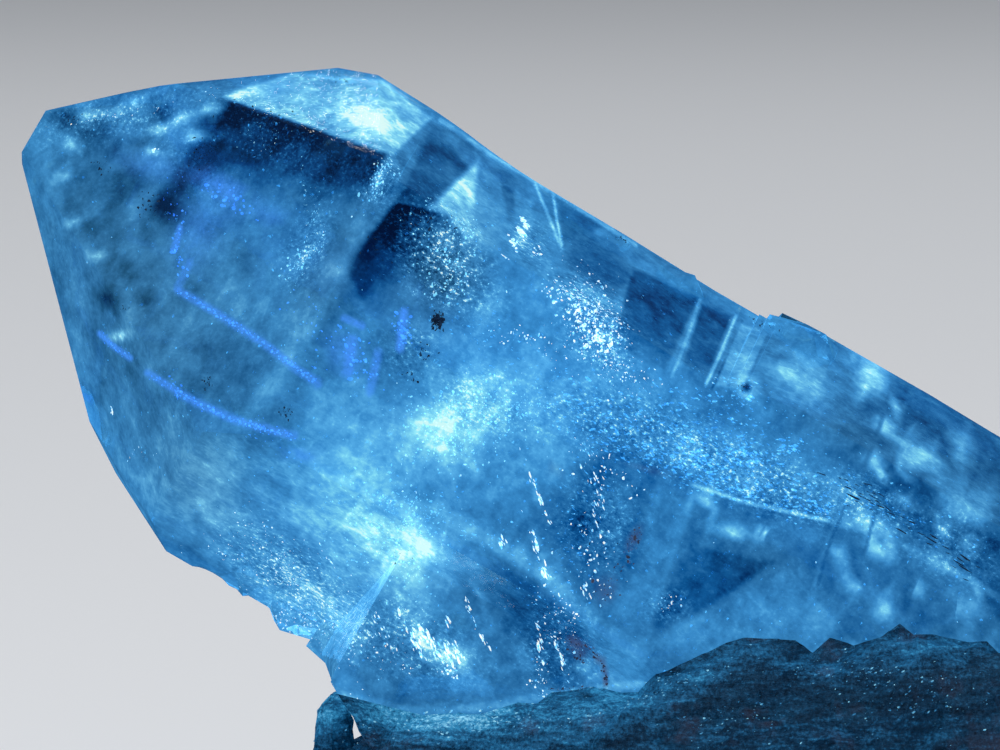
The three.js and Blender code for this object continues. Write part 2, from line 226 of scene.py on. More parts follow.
def soft_lamp(name, place, size, watts, colour=(1, 1, 1), mirrored=False):
    """A square soft lamp that faces the crystal and isn't seen through it."""
    lamp = bpy.data.objects.new(name, bpy.data.lights.new(name, "AREA"))
    lamp.data.size, lamp.data.energy, lamp.data.color = size, watts, colour
    lamp.location = place
    lamp.visible_transmission, lamp.visible_glossy = False, mirrored
    lamp.rotation_mode = "QUATERNION"
    lamp.rotation_quaternion = (LAMP_AIM - lamp.location).to_track_quat("-Z", "Y")
    bpy.context.scene.collection.objects.link(lamp)


soft_lamp("sky_panel", Vector((0, 0.15, 0.9)), size=1.4, watts=4.5)
soft_lamp("left_key", Vector((-0.28, -0.2, 0.3)), size=0.14, watts=0.8)
# The glint lamp stands where the shoulder facet mirrors it to the camera.
soft_lamp("facet_glint", GLINT_DIRECTION * GLINT_DISTANCE, size=0.008, watts=0.0016,
          colour=GLINT_COLOUR, mirrored=True)

# %% [markdown]
# ## The crystal's skin
# The CAD node is loose triangles. A copy of it is merged, and its flat triangles are joined into
# whole faces. What is left small and low down is the rough foot, and the large flat faces are
# crystal. The foot is then cut finer and pushed in and out, so its roughness is real shape.

# %% Copy and merge the CAD node
MERGE_DISTANCE = 0.002 * MM
FLAT_ANGLE = math.radians(0.7)

quartz_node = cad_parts["quartz_crystal"]
skin = bmesh.new()
skin.from_mesh(quartz_node.data)
bmesh.ops.remove_doubles(skin, verts=skin.verts, dist=MERGE_DISTANCE)
bmesh.ops.dissolve_limit(
    skin, angle_limit=FLAT_ANGLE, verts=skin.verts, edges=skin.edges, delimit=set()
)
print("merged skin:", len(skin.faces), "faces")

# %% Sort the faces into crystal and foot
CRYSTAL_SLOT, FOOT_SLOT = 0, 1
CREST_HEIGHTS = ((-9.2, 3.2), (-7.0, 3.7), (-2.0, 5.2), (0.0, 5.9), (16.0, 5.9))  # x, height in mm
LARGE_FACE = 0.8  # mm2
LONG_FACE = 2.0  # mm
ALONG_SLANT = 0.002  # how far a face may lean and still lie along the crystal or straight across
FOOT_ONLY = 1.3  # mm: nothing under this height is crystal
FOOT_END = (12.0, 3.0)  # mm: past this x, nothing under this height is crystal


def crest_height(x):
    """The height that the rough foot stays under at x, in millimetres."""
    for (x0, z0), (x1, z1) in zip(CREST_HEIGHTS, CREST_HEIGHTS[1:]):
        if x < x1:
            return z0 + (z1 - z0) * max(x - x0, 0) / (x1 - x0)
    return CREST_HEIGHTS[-1][1]


def is_grown(face):
    """True for a long face, and for one beside a large face that lies along the crystal."""
    if max(edge.calc_length() for edge in face.edges) > LONG_FACE * MM:
        return True
    slant = abs(face.normal.dot(DOWN))
    if ALONG_SLANT < slant < 1 - ALONG_SLANT:
        return False
    beside = [other for edge in face.edges for other in edge.link_faces]
    return any(other.calc_area() / MM**2 > LARGE_FACE for other in beside)


for face in skin.faces:
    middle = face.calc_center_median() / MM
    small = face.calc_area() / MM**2 < LARGE_FACE and not is_grown(face)
    in_foot = (small and middle.z < crest_height(middle.x)) or middle.z < FOOT_ONLY
    in_foot = in_foot or (middle.x > FOOT_END[0] and middle.z < FOOT_END[1])
    face.material_index = FOOT_SLOT if in_foot else CRYSTAL_SLOT
print("foot faces:", sum(face.material_index == FOOT_SLOT for face in skin.faces))

# %% Clear the islands
# The foot is one mass. A patch of it that lies apart, on the crystal's broken end, is crystal too.
foot_groups = []
left = {face for face in skin.faces if face.material_index == FOOT_SLOT}
while left:
    group = [left.pop()]
    for face in group:  # the list grows while it is gone through
        near = {other for edge in face.edges for other in edge.link_faces} & left
        left -= near
        group.extend(near)
    foot_groups.append(group)
islands = sorted(foot_groups, key=len)[:-1]
for face in (face for group in islands for face in group):
    face.material_index = CRYSTAL_SLOT
print("faces of the patches that became crystal:", [len(group) for group in islands])

# %% Let the foot climb over the crystal's low corner
# A plane through the camera cuts the faces, so the foot's edge is straight as it is seen.
CORNER_EDGE = ((338, 694), (450, 722))
CORNER_RIGHT, CORNER_TOP = -2.0, 6.0  # mm
CLIMB_RIGHT = -4.6  # mm: the foot climbs over the corner to the left of this
CUT_TOLERANCE = 1e-7

edge_start, edge_end = (picture_point(*point) for point in CORNER_EDGE)
upward = (edge_start - camera.location).cross(edge_end - camera.location).normalized()
upward *= 1 if upward.z > 0 else -1


def is_corner(face):
    middle = face.calc_center_median() / MM
    in_corner = middle.x < CORNER_RIGHT and middle.z < CORNER_TOP
    return face.material_index == CRYSTAL_SLOT and in_corner


def cut_faces(faces, through, across):
    """Cuts the faces where a plane goes through them."""
    edges = {edge for face in faces for edge in face.edges}
    corners = {vertex for face in faces for vertex in face.verts}
    bmesh.ops.bisect_plane(
        skin, geom=[*faces, *edges, *corners], dist=CUT_TOLERANCE, plane_co=through, plane_no=across
    )


cut_faces([face for face in skin.faces if is_corner(face)], edge_start, upward)
skin.normal_update()
for face in skin.faces:
    middle = face.calc_center_median()
    climbed = middle.x < CLIMB_RIGHT * MM and (middle - edge_start).dot(upward) < 0
    if is_corner(face) and climbed:
        face.material_index = FOOT_SLOT

# %% Soften the growth steps
# The riser of a step is a hair high. Its two edges become one, so the skin slopes there.
RISER_HEIGHT = 0.16 * MM


def is_riser(face):
    return face.material_index == CRYSTAL_SLOT and abs(face.normal.dot(DOWN)) > 1 - ALONG_SLANT


step_points = {vertex for face in skin.faces if is_riser(face) for vertex in face.verts}
count = len(skin.verts)
bmesh.ops.remove_doubles(skin, verts=list(step_points), dist=RISER_HEIGHT)
print("step points:", len(step_points), "- merged:", count - len(skin.verts))
skin.normal_update()

# %% Slope the deep risers
# The deep riser of the low corner leans back a little, because a wall that is seen edge-on shows
# as a hard line.
RISER_LEAN = 0.4 * MM

leans = {}
for face in skin.faces:
    if is_riser(face) and face.calc_center_median().x < 0:
        inward = -DOWN if face.normal.dot(DOWN) > 0 else DOWN
        for vertex in face.verts:
            others = [other for other in vertex.link_faces if not is_riser(other)]
            reach = [inward.dot(other.calc_center_median() - vertex.co) for other in others]
            if reach and min(reach) > 0:
                leans[vertex] = inward * RISER_LEAN
for vertex, lean in leans.items():
    vertex.co += lean
print("leaned points:", len(leans))
skin.normal_update()

# %% Cut the foot finer and roughen it
FOOT_CUTS = 2
RIDGE_HEIGHT, LAYER_HEIGHT, GRIT_HEIGHT = 0.16 * MM, 0.10 * MM, 0.05 * MM
LEDGE_CLIMB = math.radians(16)
RIDGE_SCALE, THIN_SCALE, GRIT_SCALE = (0.45, 0.7, 1.5), (0.9, 1.3, 4.6), 5.5  # for each mm
# Roughness, step from one size to the next, number of sizes; for ridges also offset and gain
RIDGE_NOISE, THIN_NOISE, GRIT_STEPS = (0.9, 2.1, 4, 0.9, 1.8), (0.7, 2.2, 4), (0.8, 2.0, 3)
RIDGE_SHARE, RIDGE_MIDDLE = 0.5, 0.8  # these bring the ridges' noise to about -1 to 1
UNDERSIDE = -0.99  # the flat underside stays flat
ROUGH_FROM = 0.8 * MM  # the roughness grows from the floor to this height


def is_rough(face):
    return face.material_index == FOOT_SLOT and face.normal.z > UNDERSIDE


bmesh.ops.triangulate(skin, faces=[face for face in skin.faces if is_rough(face)])
foot_edges = [edge for edge in skin.edges if any(is_rough(face) for face in edge.link_faces)]
bmesh.ops.subdivide_edges(skin, edges=foot_edges, cuts=FOOT_CUTS, use_grid_fill=True)
skin.normal_update()


def foot_relief(place):
    """How far the foot's skin stands out: layered ridges that climb to the right, and grit."""
    turned = Matrix.Rotation(LEDGE_CLIMB, 3, "Y") @ (place / MM)
    broad, thin = (
        Vector(part * scale for part, scale in zip(turned, scales))
        for scales in (RIDGE_SCALE, THIN_SCALE)
    )
    ridge = noise.ridged_multi_fractal(broad, *RIDGE_NOISE) * RIDGE_SHARE - RIDGE_MIDDLE
    layer = noise.fractal(thin, *THIN_NOISE)
    grit = noise.fractal(place / MM * GRIT_SCALE, *GRIT_STEPS)
    return RIDGE_HEIGHT * ridge + LAYER_HEIGHT * layer + GRIT_HEIGHT * grit


moves = {}
for vertex in skin.verts:
    if vertex.link_faces and all(is_rough(face) for face in vertex.link_faces):
        fade = min(max(vertex.co.z / ROUGH_FROM, 0), 1)
        moves[vertex] = vertex.normal * foot_relief(vertex.co) * fade
for vertex, move in moves.items():
    vertex.co += move
print("roughened points:", len(moves), "- faces in all:", len(skin.faces))

# %% [markdown]
# ## Looking into the crystal
# A place inside is found the way light goes: along the line of sight to the skin, bent there, then
# on to the wanted depth. So every inclusion can be placed where it is seen.

# %% Line of sight
QUARTZ_INDEX = 1.544
WALL_GAP = 0.02 * MM  # a ray starts again this far inside the skin
DEEPEST = 0.9  # nothing lies deeper than this share of the way to the far side

skin.normal_update()
skin_tree = BVHTree.FromBMesh(skin)


def bend(ray, normal, index):
    """The direction of a ray after it enters the crystal."""
    facing, ratio = -ray.dot(normal), 1 / index
    inside = 1 - ratio * ratio * (1 - facing * facing)
    return (ray * ratio + normal * (ratio * facing - math.sqrt(inside))).normalized()


def sight(px, py, depth=0.0):
    """The place that a picture point shows at a depth in mm under the skin, or None."""
    ray = (picture_point(px, py) - camera.location).normalized()
    hit, normal, _, _ = skin_tree.ray_cast(camera.location, ray)
    if hit is None:
        return None
    inward = bend(ray, normal, QUARTZ_INDEX)
    back = skin_tree.ray_cast(hit + inward * WALL_GAP, inward)[3]
    if back is not None:
        depth = min(depth, back / MM * DEEPEST)
    return hit + inward * depth * MM


MIDDLE = Vector((450, 400))  # a picture point well inside the crystal
PULL, PULL_STEPS = 0.02, 12


def flat_place(corner):
    """A picture point as (down, across) in mm. One outside the crystal is pulled back to it."""
    for step in range(PULL_STEPS):
        point = sight(*(Vector(corner).lerp(MIDDLE, step * PULL)))
        if point is not None:
            return crystal_place(point)
    raise ValueError(f"nothing shows at {corner}")


print("the picture's middle lies at", [round(value, 2) for value in flat_place(MIDDLE)])

# %% [markdown]
# ## Haze glow
# The quartz is clear, but fine drops and films inside scatter the light. That light is painted:
# the skin glows as a haze, with painted shade for the dark windows where the crystal is clean,
# and painted highlights for the bright seams where films stand on edge. It is painted the way a
# glaze is: broad soft areas first, then windows with straight edges, then seams. The paint is a
# level of glow at each point of the skin's mesh, from 0, clean and dark, to 1, a bright cloud. The
# shader adds the fine mottling.

# %% Haze glow table: each layer pulls the painted level towards its own
# A plain row is a glow: x and y of its middle, two radii in mm, turn in degrees, level, strength.
# A patch: corners, softness of its edge in mm, level, strength, and a line along which it fades.
# A seam: its points, half width in mm, level, strength. A strength of 1 hides what is under it.
PATCH, SEAM = "patch", "seam"

# Small lights of the right end, and small lights and shades of the tip
TICKS = (
    (800, 376), (812, 384), (836, 386), (852, 396), (862, 384), (896, 408), (915, 432), (926, 452),
    (944, 476), (903, 470), (880, 472), (890, 542), (870, 534), (918, 584), (952, 602), (978, 590),
    (942, 528), (968, 548), (985, 480), (960, 440), (850, 500), (832, 545), (856, 588),
)
TIP_LIGHTS = (
    (88, 114), (116, 112), (74, 144), (160, 128), (208, 110), (244, 92), (136, 101), (182, 118),
    (60, 176), (76, 222), (196, 136), (96, 258), (120, 336),
)
TIP_SHADES = (
    (70, 121), (90, 140), (112, 152), (138, 176), (122, 190), (160, 108), (104, 132), (92, 228),
    (112, 300), (146, 300), (210, 128), (128, 270),
)
HAZE_GLOW_LAYERS = (
    # Broad areas
    (140, 300, 7, 5, 60, 0.45, 1), (700, 450, 9, 6, 30, 0.55, 0.8), (930, 470, 5, 5, 0, 0.2, 0.85),
    (330, 610, 3.6, 2.6, 30, 0.66, 0.9), (345, 475, 2.9, 2.3, 60, 0.78, 0.9),
    (530, 320, 3.8, 2.4, 60, 0.64, 0.9), (90, 290, 1, 2.8, -15, 0.36, 0.8),
    (150, 480, 1.6, 1.6, 0, 0.6, 0.8), (240, 310, 2.4, 2, 0, 0.58, 0.9),
    # Clean windows of the pyramid, dark with painted shade
    (PATCH, ((20, 120), (222, 90), (130, 210), (128, 260), (110, 360)), 0.35, 0.47, 0.6),
    (PATCH, ((222, 97), (393, 155), (345, 262), (300, 320), (180, 300), (135, 205)), 0.06, -0.06,
     1, ((268, 112), (250, 212))),
    (166, 202, 1, 0.75, 50, -0.08, 0.9), (192, 164, 1.3, 0.75, -50, -0.02, 0.95),
    (222, 122, 1, 0.6, 20, -0.06, 0.85), (300, 175, 1.3, 0.6, 20, 0.2, 0.6),
    (SEAM, ((208, 88), (160, 138), (116, 200)), 0.15, 0.52, 0.95),
    (SEAM, ((42, 140), (58, 220), (84, 330), (108, 420)), 0.3, 0.58, 0.6),
    (152, 255, 0.5, 1.3, 0, 0.36, 0.6), (190, 100, 0.8, 0.4, -20, 0.58, 0.6),
    (SEAM, ((130, 205), (124, 250), (124, 300), (132, 350)), 0.2, 0.62, 0.6),
    (98, 172, 0.6, 0.8, 0, 0.26, 0.7), (62, 122, 0.6, 0.3, 30, 0.26, 0.6),
    (70, 210, 0.5, 0.9, 0, 0.36, 0.6), (152, 151, 0.38, 0.16, 10, 0.92, 0.9),
    (110, 120, 0.9, 0.3, -15, 0.54, 0.7), (212, 135, 0.4, 0.3, 0, 0.44, 0.7),
    (250, 128, 0.26, 0.45, 80, 0.38, 0.7), (305, 152, 0.5, 0.26, 20, 0.34, 0.6),
    (198, 168, 0.45, 0.22, 0, 0.42, 0.6), (285, 215, 1.2, 0.7, 20, 0.52, 0.6),
    (PATCH, ((398, 200), (452, 212), (465, 226), (432, 345), (385, 345), (342, 262)), 0.09, 0,
     1, ((400, 225), (425, 330))),
    (450, 255, 1.3, 0.6, 60, 0.56, 0.9), (405, 290, 0.9, 0.7, 30, 0.5, 0.8),
    (PATCH, ((430, 118), (482, 186), (452, 216), (396, 200)), 0.07, 0.3, 1),
    (SEAM, ((396, 201), (420, 206), (452, 215)), 0.05, 0.45, 0.7),
    (SEAM, ((222, 96), (170, 160), (131, 215), (130, 260), (148, 380)), 0.3, 0.6, 0.6),
    (SEAM, ((393, 155), (372, 200), (340, 262)), 0.17, 0.54, 0.9),
    (SEAM, ((340, 262), (300, 340), (262, 400)), 0.34, 0.62, 0.8),
    (SEAM, ((430, 118), (400, 185), (345, 262)), 0.16, 0.55, 0.6),
    (SEAM, ((300, 345), (240, 440), (180, 540)), 0.2, 0.55, 0.5),
    (112, 215, 0.5, 0.9, 20, 0.25, 0.7), (85, 170, 0.5, 0.5, 0, 0.32, 0.6),
    (140, 345, 0.4, 0.7, 0, 0.33, 0.5),
    # The shoulder facet, bright with a painted highlight where it mirrors the light
    (PATCH, ((222, 97), (290, 66), (380, 66), (432, 118), (393, 155)), 0.05, 0.78, 1),
    (375, 122, 1.2, 0.6, 30, 0.98, 0.9), (268, 92, 0.9, 0.5, 0, 0.7, 0.7),
    # The lit wedge under the shoulder, painted light, and the clean steps of the side face, in
    # painted light and shade
    (PATCH, ((478, 160), (488, 196), (472, 220), (428, 208)), 0.1, 0.85, 0.95),
    (PATCH, ((480, 165), (503, 190), (500, 245), (474, 222)), 0.06, 0.52, 0.8),
    (PATCH, ((504, 188), (535, 215), (528, 240), (500, 240)), 0.08, 0.62, 0.7),
    (480, 232, 1.4, 0.5, 50, 0.78, 0.7),
    (PATCH, ((478, 166), (500, 176), (512, 226), (486, 228), (474, 205)), 0.1, 0.6, 0.8),
    (PATCH, ((500, 178), (514, 188), (516, 222), (508, 220)), 0.05, 0.36, 0.8),
    (PATCH, ((516, 190), (534, 200), (530, 235), (512, 226)), 0.08, 0.62, 0.8),
    (462, 222, 0.9, 0.4, 30, 0.82, 0.85), (492, 214, 0.7, 0.6, 30, 0.66, 0.7),
    (515, 250, 0.9, 0.5, 40, 0.7, 0.6),
    (SEAM, ((537, 180), (548, 215), (562, 250)), 0.045, 0.85, 0.8),
    (SEAM, ((553, 193), (556, 215), (562, 245)), 0.04, 0.95, 0.8),
    (PATCH, ((557, 196), (603, 226), (578, 240), (563, 240)), 0.06, 0.32, 0.9),
    (PATCH, ((575, 238), (612, 238), (640, 262), (610, 300), (565, 262)), 0.1, 0.36, 0.85),
    (PATCH, ((610, 236), (690, 276), (738, 306), (700, 300), (632, 268)), 0.08, 0.5, 0.8),
    (PATCH, ((633, 268), (698, 298), (664, 372), (612, 346)), 0.06, 0.24, 1,
     ((660, 300), (634, 395))),
    (SEAM, ((700, 300), (688, 335), (672, 376)), 0.05, 0.7, 0.9),
    (PATCH, ((702, 304), (731, 316), (703, 384), (679, 376)), 0.05, 0.19, 1,
     ((718, 320), (688, 400))),
    (SEAM, ((736, 316), (722, 350), (706, 384)), 0.05, 0.88, 0.9),
    (SEAM, ((742, 320), (728, 354), (712, 388)), 0.03, 0.28, 0.8),
    (PATCH, ((740, 322), (768, 334), (742, 388), (716, 386)), 0.05, 0.7, 0.9),
    (SEAM, ((768, 334), (755, 365), (742, 392)), 0.03, 0.4, 0.7),
    (800, 355, 1.6, 0.8, 30, 0.64, 0.8),
    # Soft wisps of the right end
    (783, 378, 0.6, 0.3, 20, 1, 1), (822, 386, 1.2, 0.38, 25, 1, 1),
    (872, 372, 0.9, 0.55, 60, 0.98, 0.95), (884, 427, 0.6, 0.36, 30, 0.96, 0.95),
    (907, 450, 1, 0.36, 50, 0.94, 0.95), (934, 462, 0.35, 0.5, 0, 0.92, 0.95),
    (872, 458, 0.5, 0.4, 20, 0.84, 0.9), (905, 500, 0.5, 0.3, 30, 0.76, 0.8),
    (955, 490, 0.6, 0.9, 0, 0.86, 0.9), (985, 515, 0.6, 0.6, 0, 0.84, 0.9),
    (840, 425, 1.8, 0.8, 30, 0.44, 0.8),
    (SEAM, ((892, 385), (880, 425), (862, 470)), 0.07, 0.36, 0.7),
    *((*spot, 0.44, 0.2, 65, 0.94, 0.85) for spot in TICKS),
    *((*spot, 0.52, 0.22, -15, 0.92, 0.85) for spot in TIP_LIGHTS),
    *((*spot, 0.56, 0.42, 30, 0.12, 0.8) for spot in TIP_SHADES),
    # The healed crack's edge, with clean quartz under it
    (PATCH, ((560, 392), (650, 405), (740, 430), (840, 470), (905, 520), (830, 520), (760, 502),
             (690, 478), (600, 440)), 0.35, 0.6, 0.9),
    (PATCH, ((696, 488), (830, 525), (872, 532), (800, 566), (690, 566)), 0.16, 0.44, 0.95),
    (SEAM, ((690, 484), (745, 502), (838, 523)), 0.06, 0.88, 0.95),
    (SEAM, ((830, 521), (880, 534), (960, 575), (1000, 598)), 0.1, 0.62, 0.7),
    (702, 508, 0.55, 0.7, 20, 0.95, 0.95), (733, 532, 0.6, 0.28, 10, 0.97, 0.95),
    (762, 534, 0.4, 0.26, 0, 0.97, 0.95), (872, 524, 1.2, 0.36, 20, 0.92, 0.9),
    (840, 560, 0.3, 0.6, 0, 0.74, 0.8), (880, 550, 0.7, 0.4, 30, 0.88, 0.9),
    (846, 575, 0.25, 0.6, 0, 0.8, 0.8), (930, 560, 0.9, 0.5, 20, 0.66, 0.8),
    (885, 605, 0.35, 0.5, 0, 0.9, 0.9), (968, 608, 0.7, 0.4, 10, 0.84, 0.9),
    (SEAM, ((842, 500), (824, 540), (812, 580)), 0.08, 0.42, 0.5),
    (SEAM, ((838, 520), (822, 560), (812, 600)), 0.1, 0.6, 0.6),
    (SEAM, ((846, 505), (828, 548), (818, 585)), 0.05, 0.3, 0.7),
    (SEAM, ((884, 480), (872, 525), (858, 575)), 0.05, 0.32, 0.6),
    (760, 556, 1.8, 0.7, 0, 0.34, 0.6), (747, 388, 0.44, 0.4, 0, 1, 1),
    (747, 388, 0.2, 0.18, 0, 0.05, 1),
    # The clean blue heart and the bars in it
    (PATCH, ((548, 492), (610, 452), (682, 466), (672, 520), (640, 610), (596, 612), (548, 570)),
     0.35, 0.38, 0.9),
    (PATCH, ((612, 455), (640, 462), (618, 560), (594, 556)), 0.1, 0.46, 0.7),
    (PATCH, ((660, 468), (692, 480), (652, 640), (616, 640)), 0.12, 0.5, 0.85),
    (PATCH, ((694, 500), (712, 510), (672, 620), (652, 630)), 0.1, 0.34, 0.8),
    (PATCH, ((690, 545), (775, 562), (700, 612), (650, 640), (668, 590)), 0.1, 0.25, 0.9),
    (PATCH, ((788, 568), (858, 645), (790, 660), (680, 660), (672, 632)), 0.03, 0.55, 1),
    (640, 650, 2.4, 0.8, -10, 0.56, 0.8),
    # The lower face: its clean patches and the veil that crosses it
    (PATCH, ((430, 560), (520, 560), (590, 600), (610, 650), (560, 690), (470, 690), (420, 640)),
     0.35, 0.5, 0.9),
    (PATCH, ((490, 555), (540, 580), (580, 625), (590, 655), (560, 680), (520, 640), (480, 600)),
     0.3, 0.24, 0.9),
    (470, 590, 1.4, 0.8, 20, 0.34, 0.8),
    (SEAM, ((400, 505), (440, 512), (500, 545), (545, 575), (590, 620), (640, 655)),
     0.22, 0.68, 0.9),
    (480, 515, 1.2, 0.5, 10, 0.48, 0.7),
    (SEAM, ((360, 495), (340, 520), (322, 545)), 0.06, 0.48, 0.6),
    (PATCH, ((150, 430), (300, 470), (268, 545), (210, 560), (140, 500)), 0.35, 0.62, 0.8),
    (SEAM, ((308, 470), (288, 510), (264, 548)), 0.16, 0.66, 0.7),
    (446, 262, 1.9, 1.1, 50, 0.52, 0.75), (430, 640, 3, 1.6, 20, 0.58, 0.45),
    (300, 590, 2.2, 1.3, 40, 0.84, 0.65), (210, 470, 2.4, 1.6, 60, 0.69, 0.65),
    # Light around the groups of sparkles
    (596, 322, 1.4, 0.7, 62, 0.74, 0.7), (522, 236, 0.5, 0.3, 115, 0.84, 0.8),
    (447, 240, 0.5, 0.2, 60, 0.66, 0.7), (457, 265, 0.3, 0.2, 60, 0.74, 0.7),
    (378, 178, 0.45, 0.16, 115, 0.84, 0.8), (300, 262, 0.6, 0.25, 130, 0.74, 0.8),
    (318, 228, 0.6, 0.2, 80, 0.62, 0.7), (452, 655, 0.8, 0.5, 30, 1.05, 0.95),
    (422, 640, 0.8, 0.26, 62, 1.02, 0.95), (452, 672, 0.4, 0.12, 0, 0.86, 0.8),
    (480, 596, 0.5, 0.1, 66, 0.8, 0.8), (539, 500, 0.9, 0.09, 68, 0.8, 0.8),
    (538, 545, 0.7, 0.09, 68, 0.8, 0.8), (290, 575, 1.4, 0.8, 40, 0.7, 0.7),
    (605, 560, 0.9, 0.4, 80, 0.52, 0.6), (560, 660, 0.9, 0.4, 80, 0.52, 0.6),
    (586, 670, 0.42, 0.5, 0, 0.58, 0.9),
    # A painted bright line along the top of the foot
    (SEAM, ((345, 694), (392, 708), (440, 712), (500, 704), (560, 694), (640, 684)),
     0.12, 0.66, 0.8),
    # A painted highlight: the hot streak on the shoulder facet
    (360, 120, 1.8, 0.8, 20, 0.9, 0.6), (370, 120, 1, 0.28, 15, 1.06, 0.9),
    # A painted highlight: the bright rim of the upper edge
    (SEAM, ((440, 108), (500, 160), (552, 192), (606, 226), (640, 242)), 0.06, 0.8, 0.8),
    # Glowing clouds
    (470, 425, 3.4, 2.3, -5, 0.85, 0.95), (470, 410, 1.7, 1.1, -20, 0.88, 0.85),
    (440, 440, 1.3, 1, 60, 0.89, 0.8), (530, 408, 1.6, 0.6, -10, 0.84, 0.8),
    (445, 350, 0.8, 1, 30, 0.7, 0.7), (388, 540, 2.7, 2.1, 30, 0.86, 0.95),
    (400, 546, 1.9, 1.3, 40, 0.94, 0.85), (418, 545, 0.7, 0.5, 50, 1.02, 0.8),
    (300, 520, 1.2, 0.9, 0, 0.76, 0.8), (262, 560, 0.7, 0.6, 0, 0.62, 0.7),
)

# How blue each place is: the tip's painted haze glow is greyer than the rest.
BLUE_LAYERS = (
    (620, 450, 11, 7.5, 30, 1, 1), (130, 300, 6.5, 4.5, 60, 0.05, 1),
    (350, 480, 3.4, 3, 30, 1, 0.9), (185, 475, 2.4, 1.7, 60, 0, 0.85),
    (440, 280, 1.6, 2.4, 30, 0, 0.9), (330, 270, 0.9, 2.6, 30, 0, 0.9),
    (840, 430, 1.8, 0.9, 30, 0.45, 0.8), (670, 250, 2.4, 0.4, 30, 0.4, 0.8),
    (480, 590, 1.8, 1, 20, 0.45, 0.7), (760, 560, 1.6, 1, 0, 0.4, 0.6),
)

# Where glowing oil turns the painted haze glow a stronger blue.
OIL_LAYERS = (
    (SEAM, ((178, 290), (215, 312), (262, 342), (318, 384)), 0.11, 1, 0.7),
    (SEAM, ((148, 373), (195, 402), (235, 420), (294, 436)), 0.11, 1, 0.7),
    (SEAM, ((100, 334), (112, 345), (130, 358)), 0.09, 1, 0.8),
    (SEAM, ((180, 228), (174, 250)), 0.09, 1, 0.8),
    (SEAM, ((190, 262), (183, 276), (178, 286)), 0.11, 1, 0.45),
    (236, 198, 0.5, 0.42, 60, 1, 1), (214, 186, 0.55, 0.26, 20, 1, 0.8),
    (198, 176, 0.22, 0.3, 0, 1, 0.5), (266, 214, 0.5, 0.35, 40, 1, 0.4),
    (SEAM, ((404, 312), (400, 348)), 0.12, 1, 0.9),
    (SEAM, ((352, 340), (348, 372)), 0.14, 1, 0.8),
    (SEAM, ((378, 352), (370, 392)), 0.12, 1, 0.6),
    (SEAM, ((344, 318), (362, 326)), 0.1, 1, 0.7),
    (345, 355, 0.9, 0.6, 60, 1, 0.4), (300, 455, 0.6, 0.2, 10, 1, 0.5),
    (150, 165, 1.4, 0.5, 10, 1, 0.25), (200, 230, 0.9, 1.4, 20, 1, 0.3),
)

# Where rust stains the painted haze glow brown.
RUST_LAYERS = (
    (SEAM, ((566, 640), (588, 646), (603, 664), (606, 684)), 0.07, 1, 0.8),
    (580, 652, 0.35, 0.25, 30, 1, 0.6), (634, 538, 0.22, 0.5, 30, 1, 0.5),
    (606, 590, 0.4, 0.5, 20, 1, 0.5), (555, 470, 0.3, 0.2, 0, 1, 0.3),
    (650, 470, 0.9, 0.12, 15, 1, 0.3),
)
# Where crowded drops glitter.
GLITTER_LAYERS = (
    (120, 115, 3.4, 0.8, -12, 0.9, 0.9), (190, 160, 2, 1, 40, 0.5, 0.8),
    (290, 140, 3, 1.2, 25, 0.7, 0.9), (380, 180, 1, 0.6, 115, 1.3, 0.9),
    (310, 245, 1.4, 0.7, 110, 1.1, 0.9), (345, 100, 1.6, 0.8, 20, 0.5, 0.8),
    (440, 258, 2.2, 1.3, 50, 1.8, 1), (410, 350, 1, 1, 0, 1, 0.8), (596, 325, 1.9, 1, 62, 1.5, 0.9),
    (530, 240, 0.8, 0.6, 60, 1, 0.9), (640, 430, 3.4, 1.2, 15, 1.2, 1),
    (760, 480, 3.4, 1.1, 20, 1.25, 1), (600, 520, 1.8, 1.4, 80, 1.1, 0.9),
    (870, 500, 1.6, 0.7, 30, 1.2, 0.9), (950, 545, 2.2, 1.2, 30, 0.8, 0.9),
    (290, 580, 2.6, 1.3, 40, 1.2, 1), (400, 640, 2.8, 1.3, 20, 1.1, 1),
    (560, 650, 1.8, 1.4, 70, 1, 0.9), (480, 400, 1.8, 1.2, 30, 0.7, 0.8),
    (667, 605, 0.8, 0.6, 0, 1, 0.9),
)
# Painted glow: where light from inside shows through the foot.
FOOT_LAYERS = (
    (450, 715, 5, 1, 0, 0.85, 1), (600, 705, 3, 0.9, -10, 0.7, 0.9),
    (700, 675, 2.4, 0.6, -25, 0.62, 0.9), (800, 665, 3, 0.5, 10, 0.5, 0.9),
    (930, 650, 3, 0.7, -5, 0.6, 0.9), (800, 735, 9, 0.7, 0, 0.4, 0.8),
    (520, 740, 4, 0.7, -8, 0.55, 0.8), (325, 715, 1.1, 0.9, -60, 0.8, 0.9),
)


# %% Painting with the layers
SEAM_CORE = 0.3  # a seam is full over this share of its half width


def flat_path(path):
    return [flat_place(point) for point in path]


def ramp_down(distance, width):
    """1 at or under 0, falling smoothly to 0 at the width."""
    share = np.clip(1 - distance / width, 0, 1)
    return share * share * (3 - 2 * share)


def to_segment(places, start, end):
    """How far each place is from a straight seam."""
    start, along = np.array(start), np.array(end) - np.array(start)
    share = np.clip(((places - start) @ along) / max(along @ along, 1e-9), 0, 1)
    return np.linalg.norm(places - start - share[:, None] * along, axis=1)


def to_path(places, path):
    return np.min([to_segment(places, a, b) for a, b in zip(path, path[1:])], axis=0)


def inside_patch(places, corners):
    """True for each place inside a closed patch, by counting the edges to its right."""
    inside = np.zeros(len(places), bool)
    for (x0, y0), (x1, y1) in zip(corners, corners[1:] + corners[:1]):
        crosses = (places[:, 1] < y0) != (places[:, 1] < y1)
        meets = x0 + (places[:, 1] - y0) / ((y1 - y0) or 1e-9) * (x1 - x0)
        inside ^= crosses & (places[:, 0] < meets)
    return inside


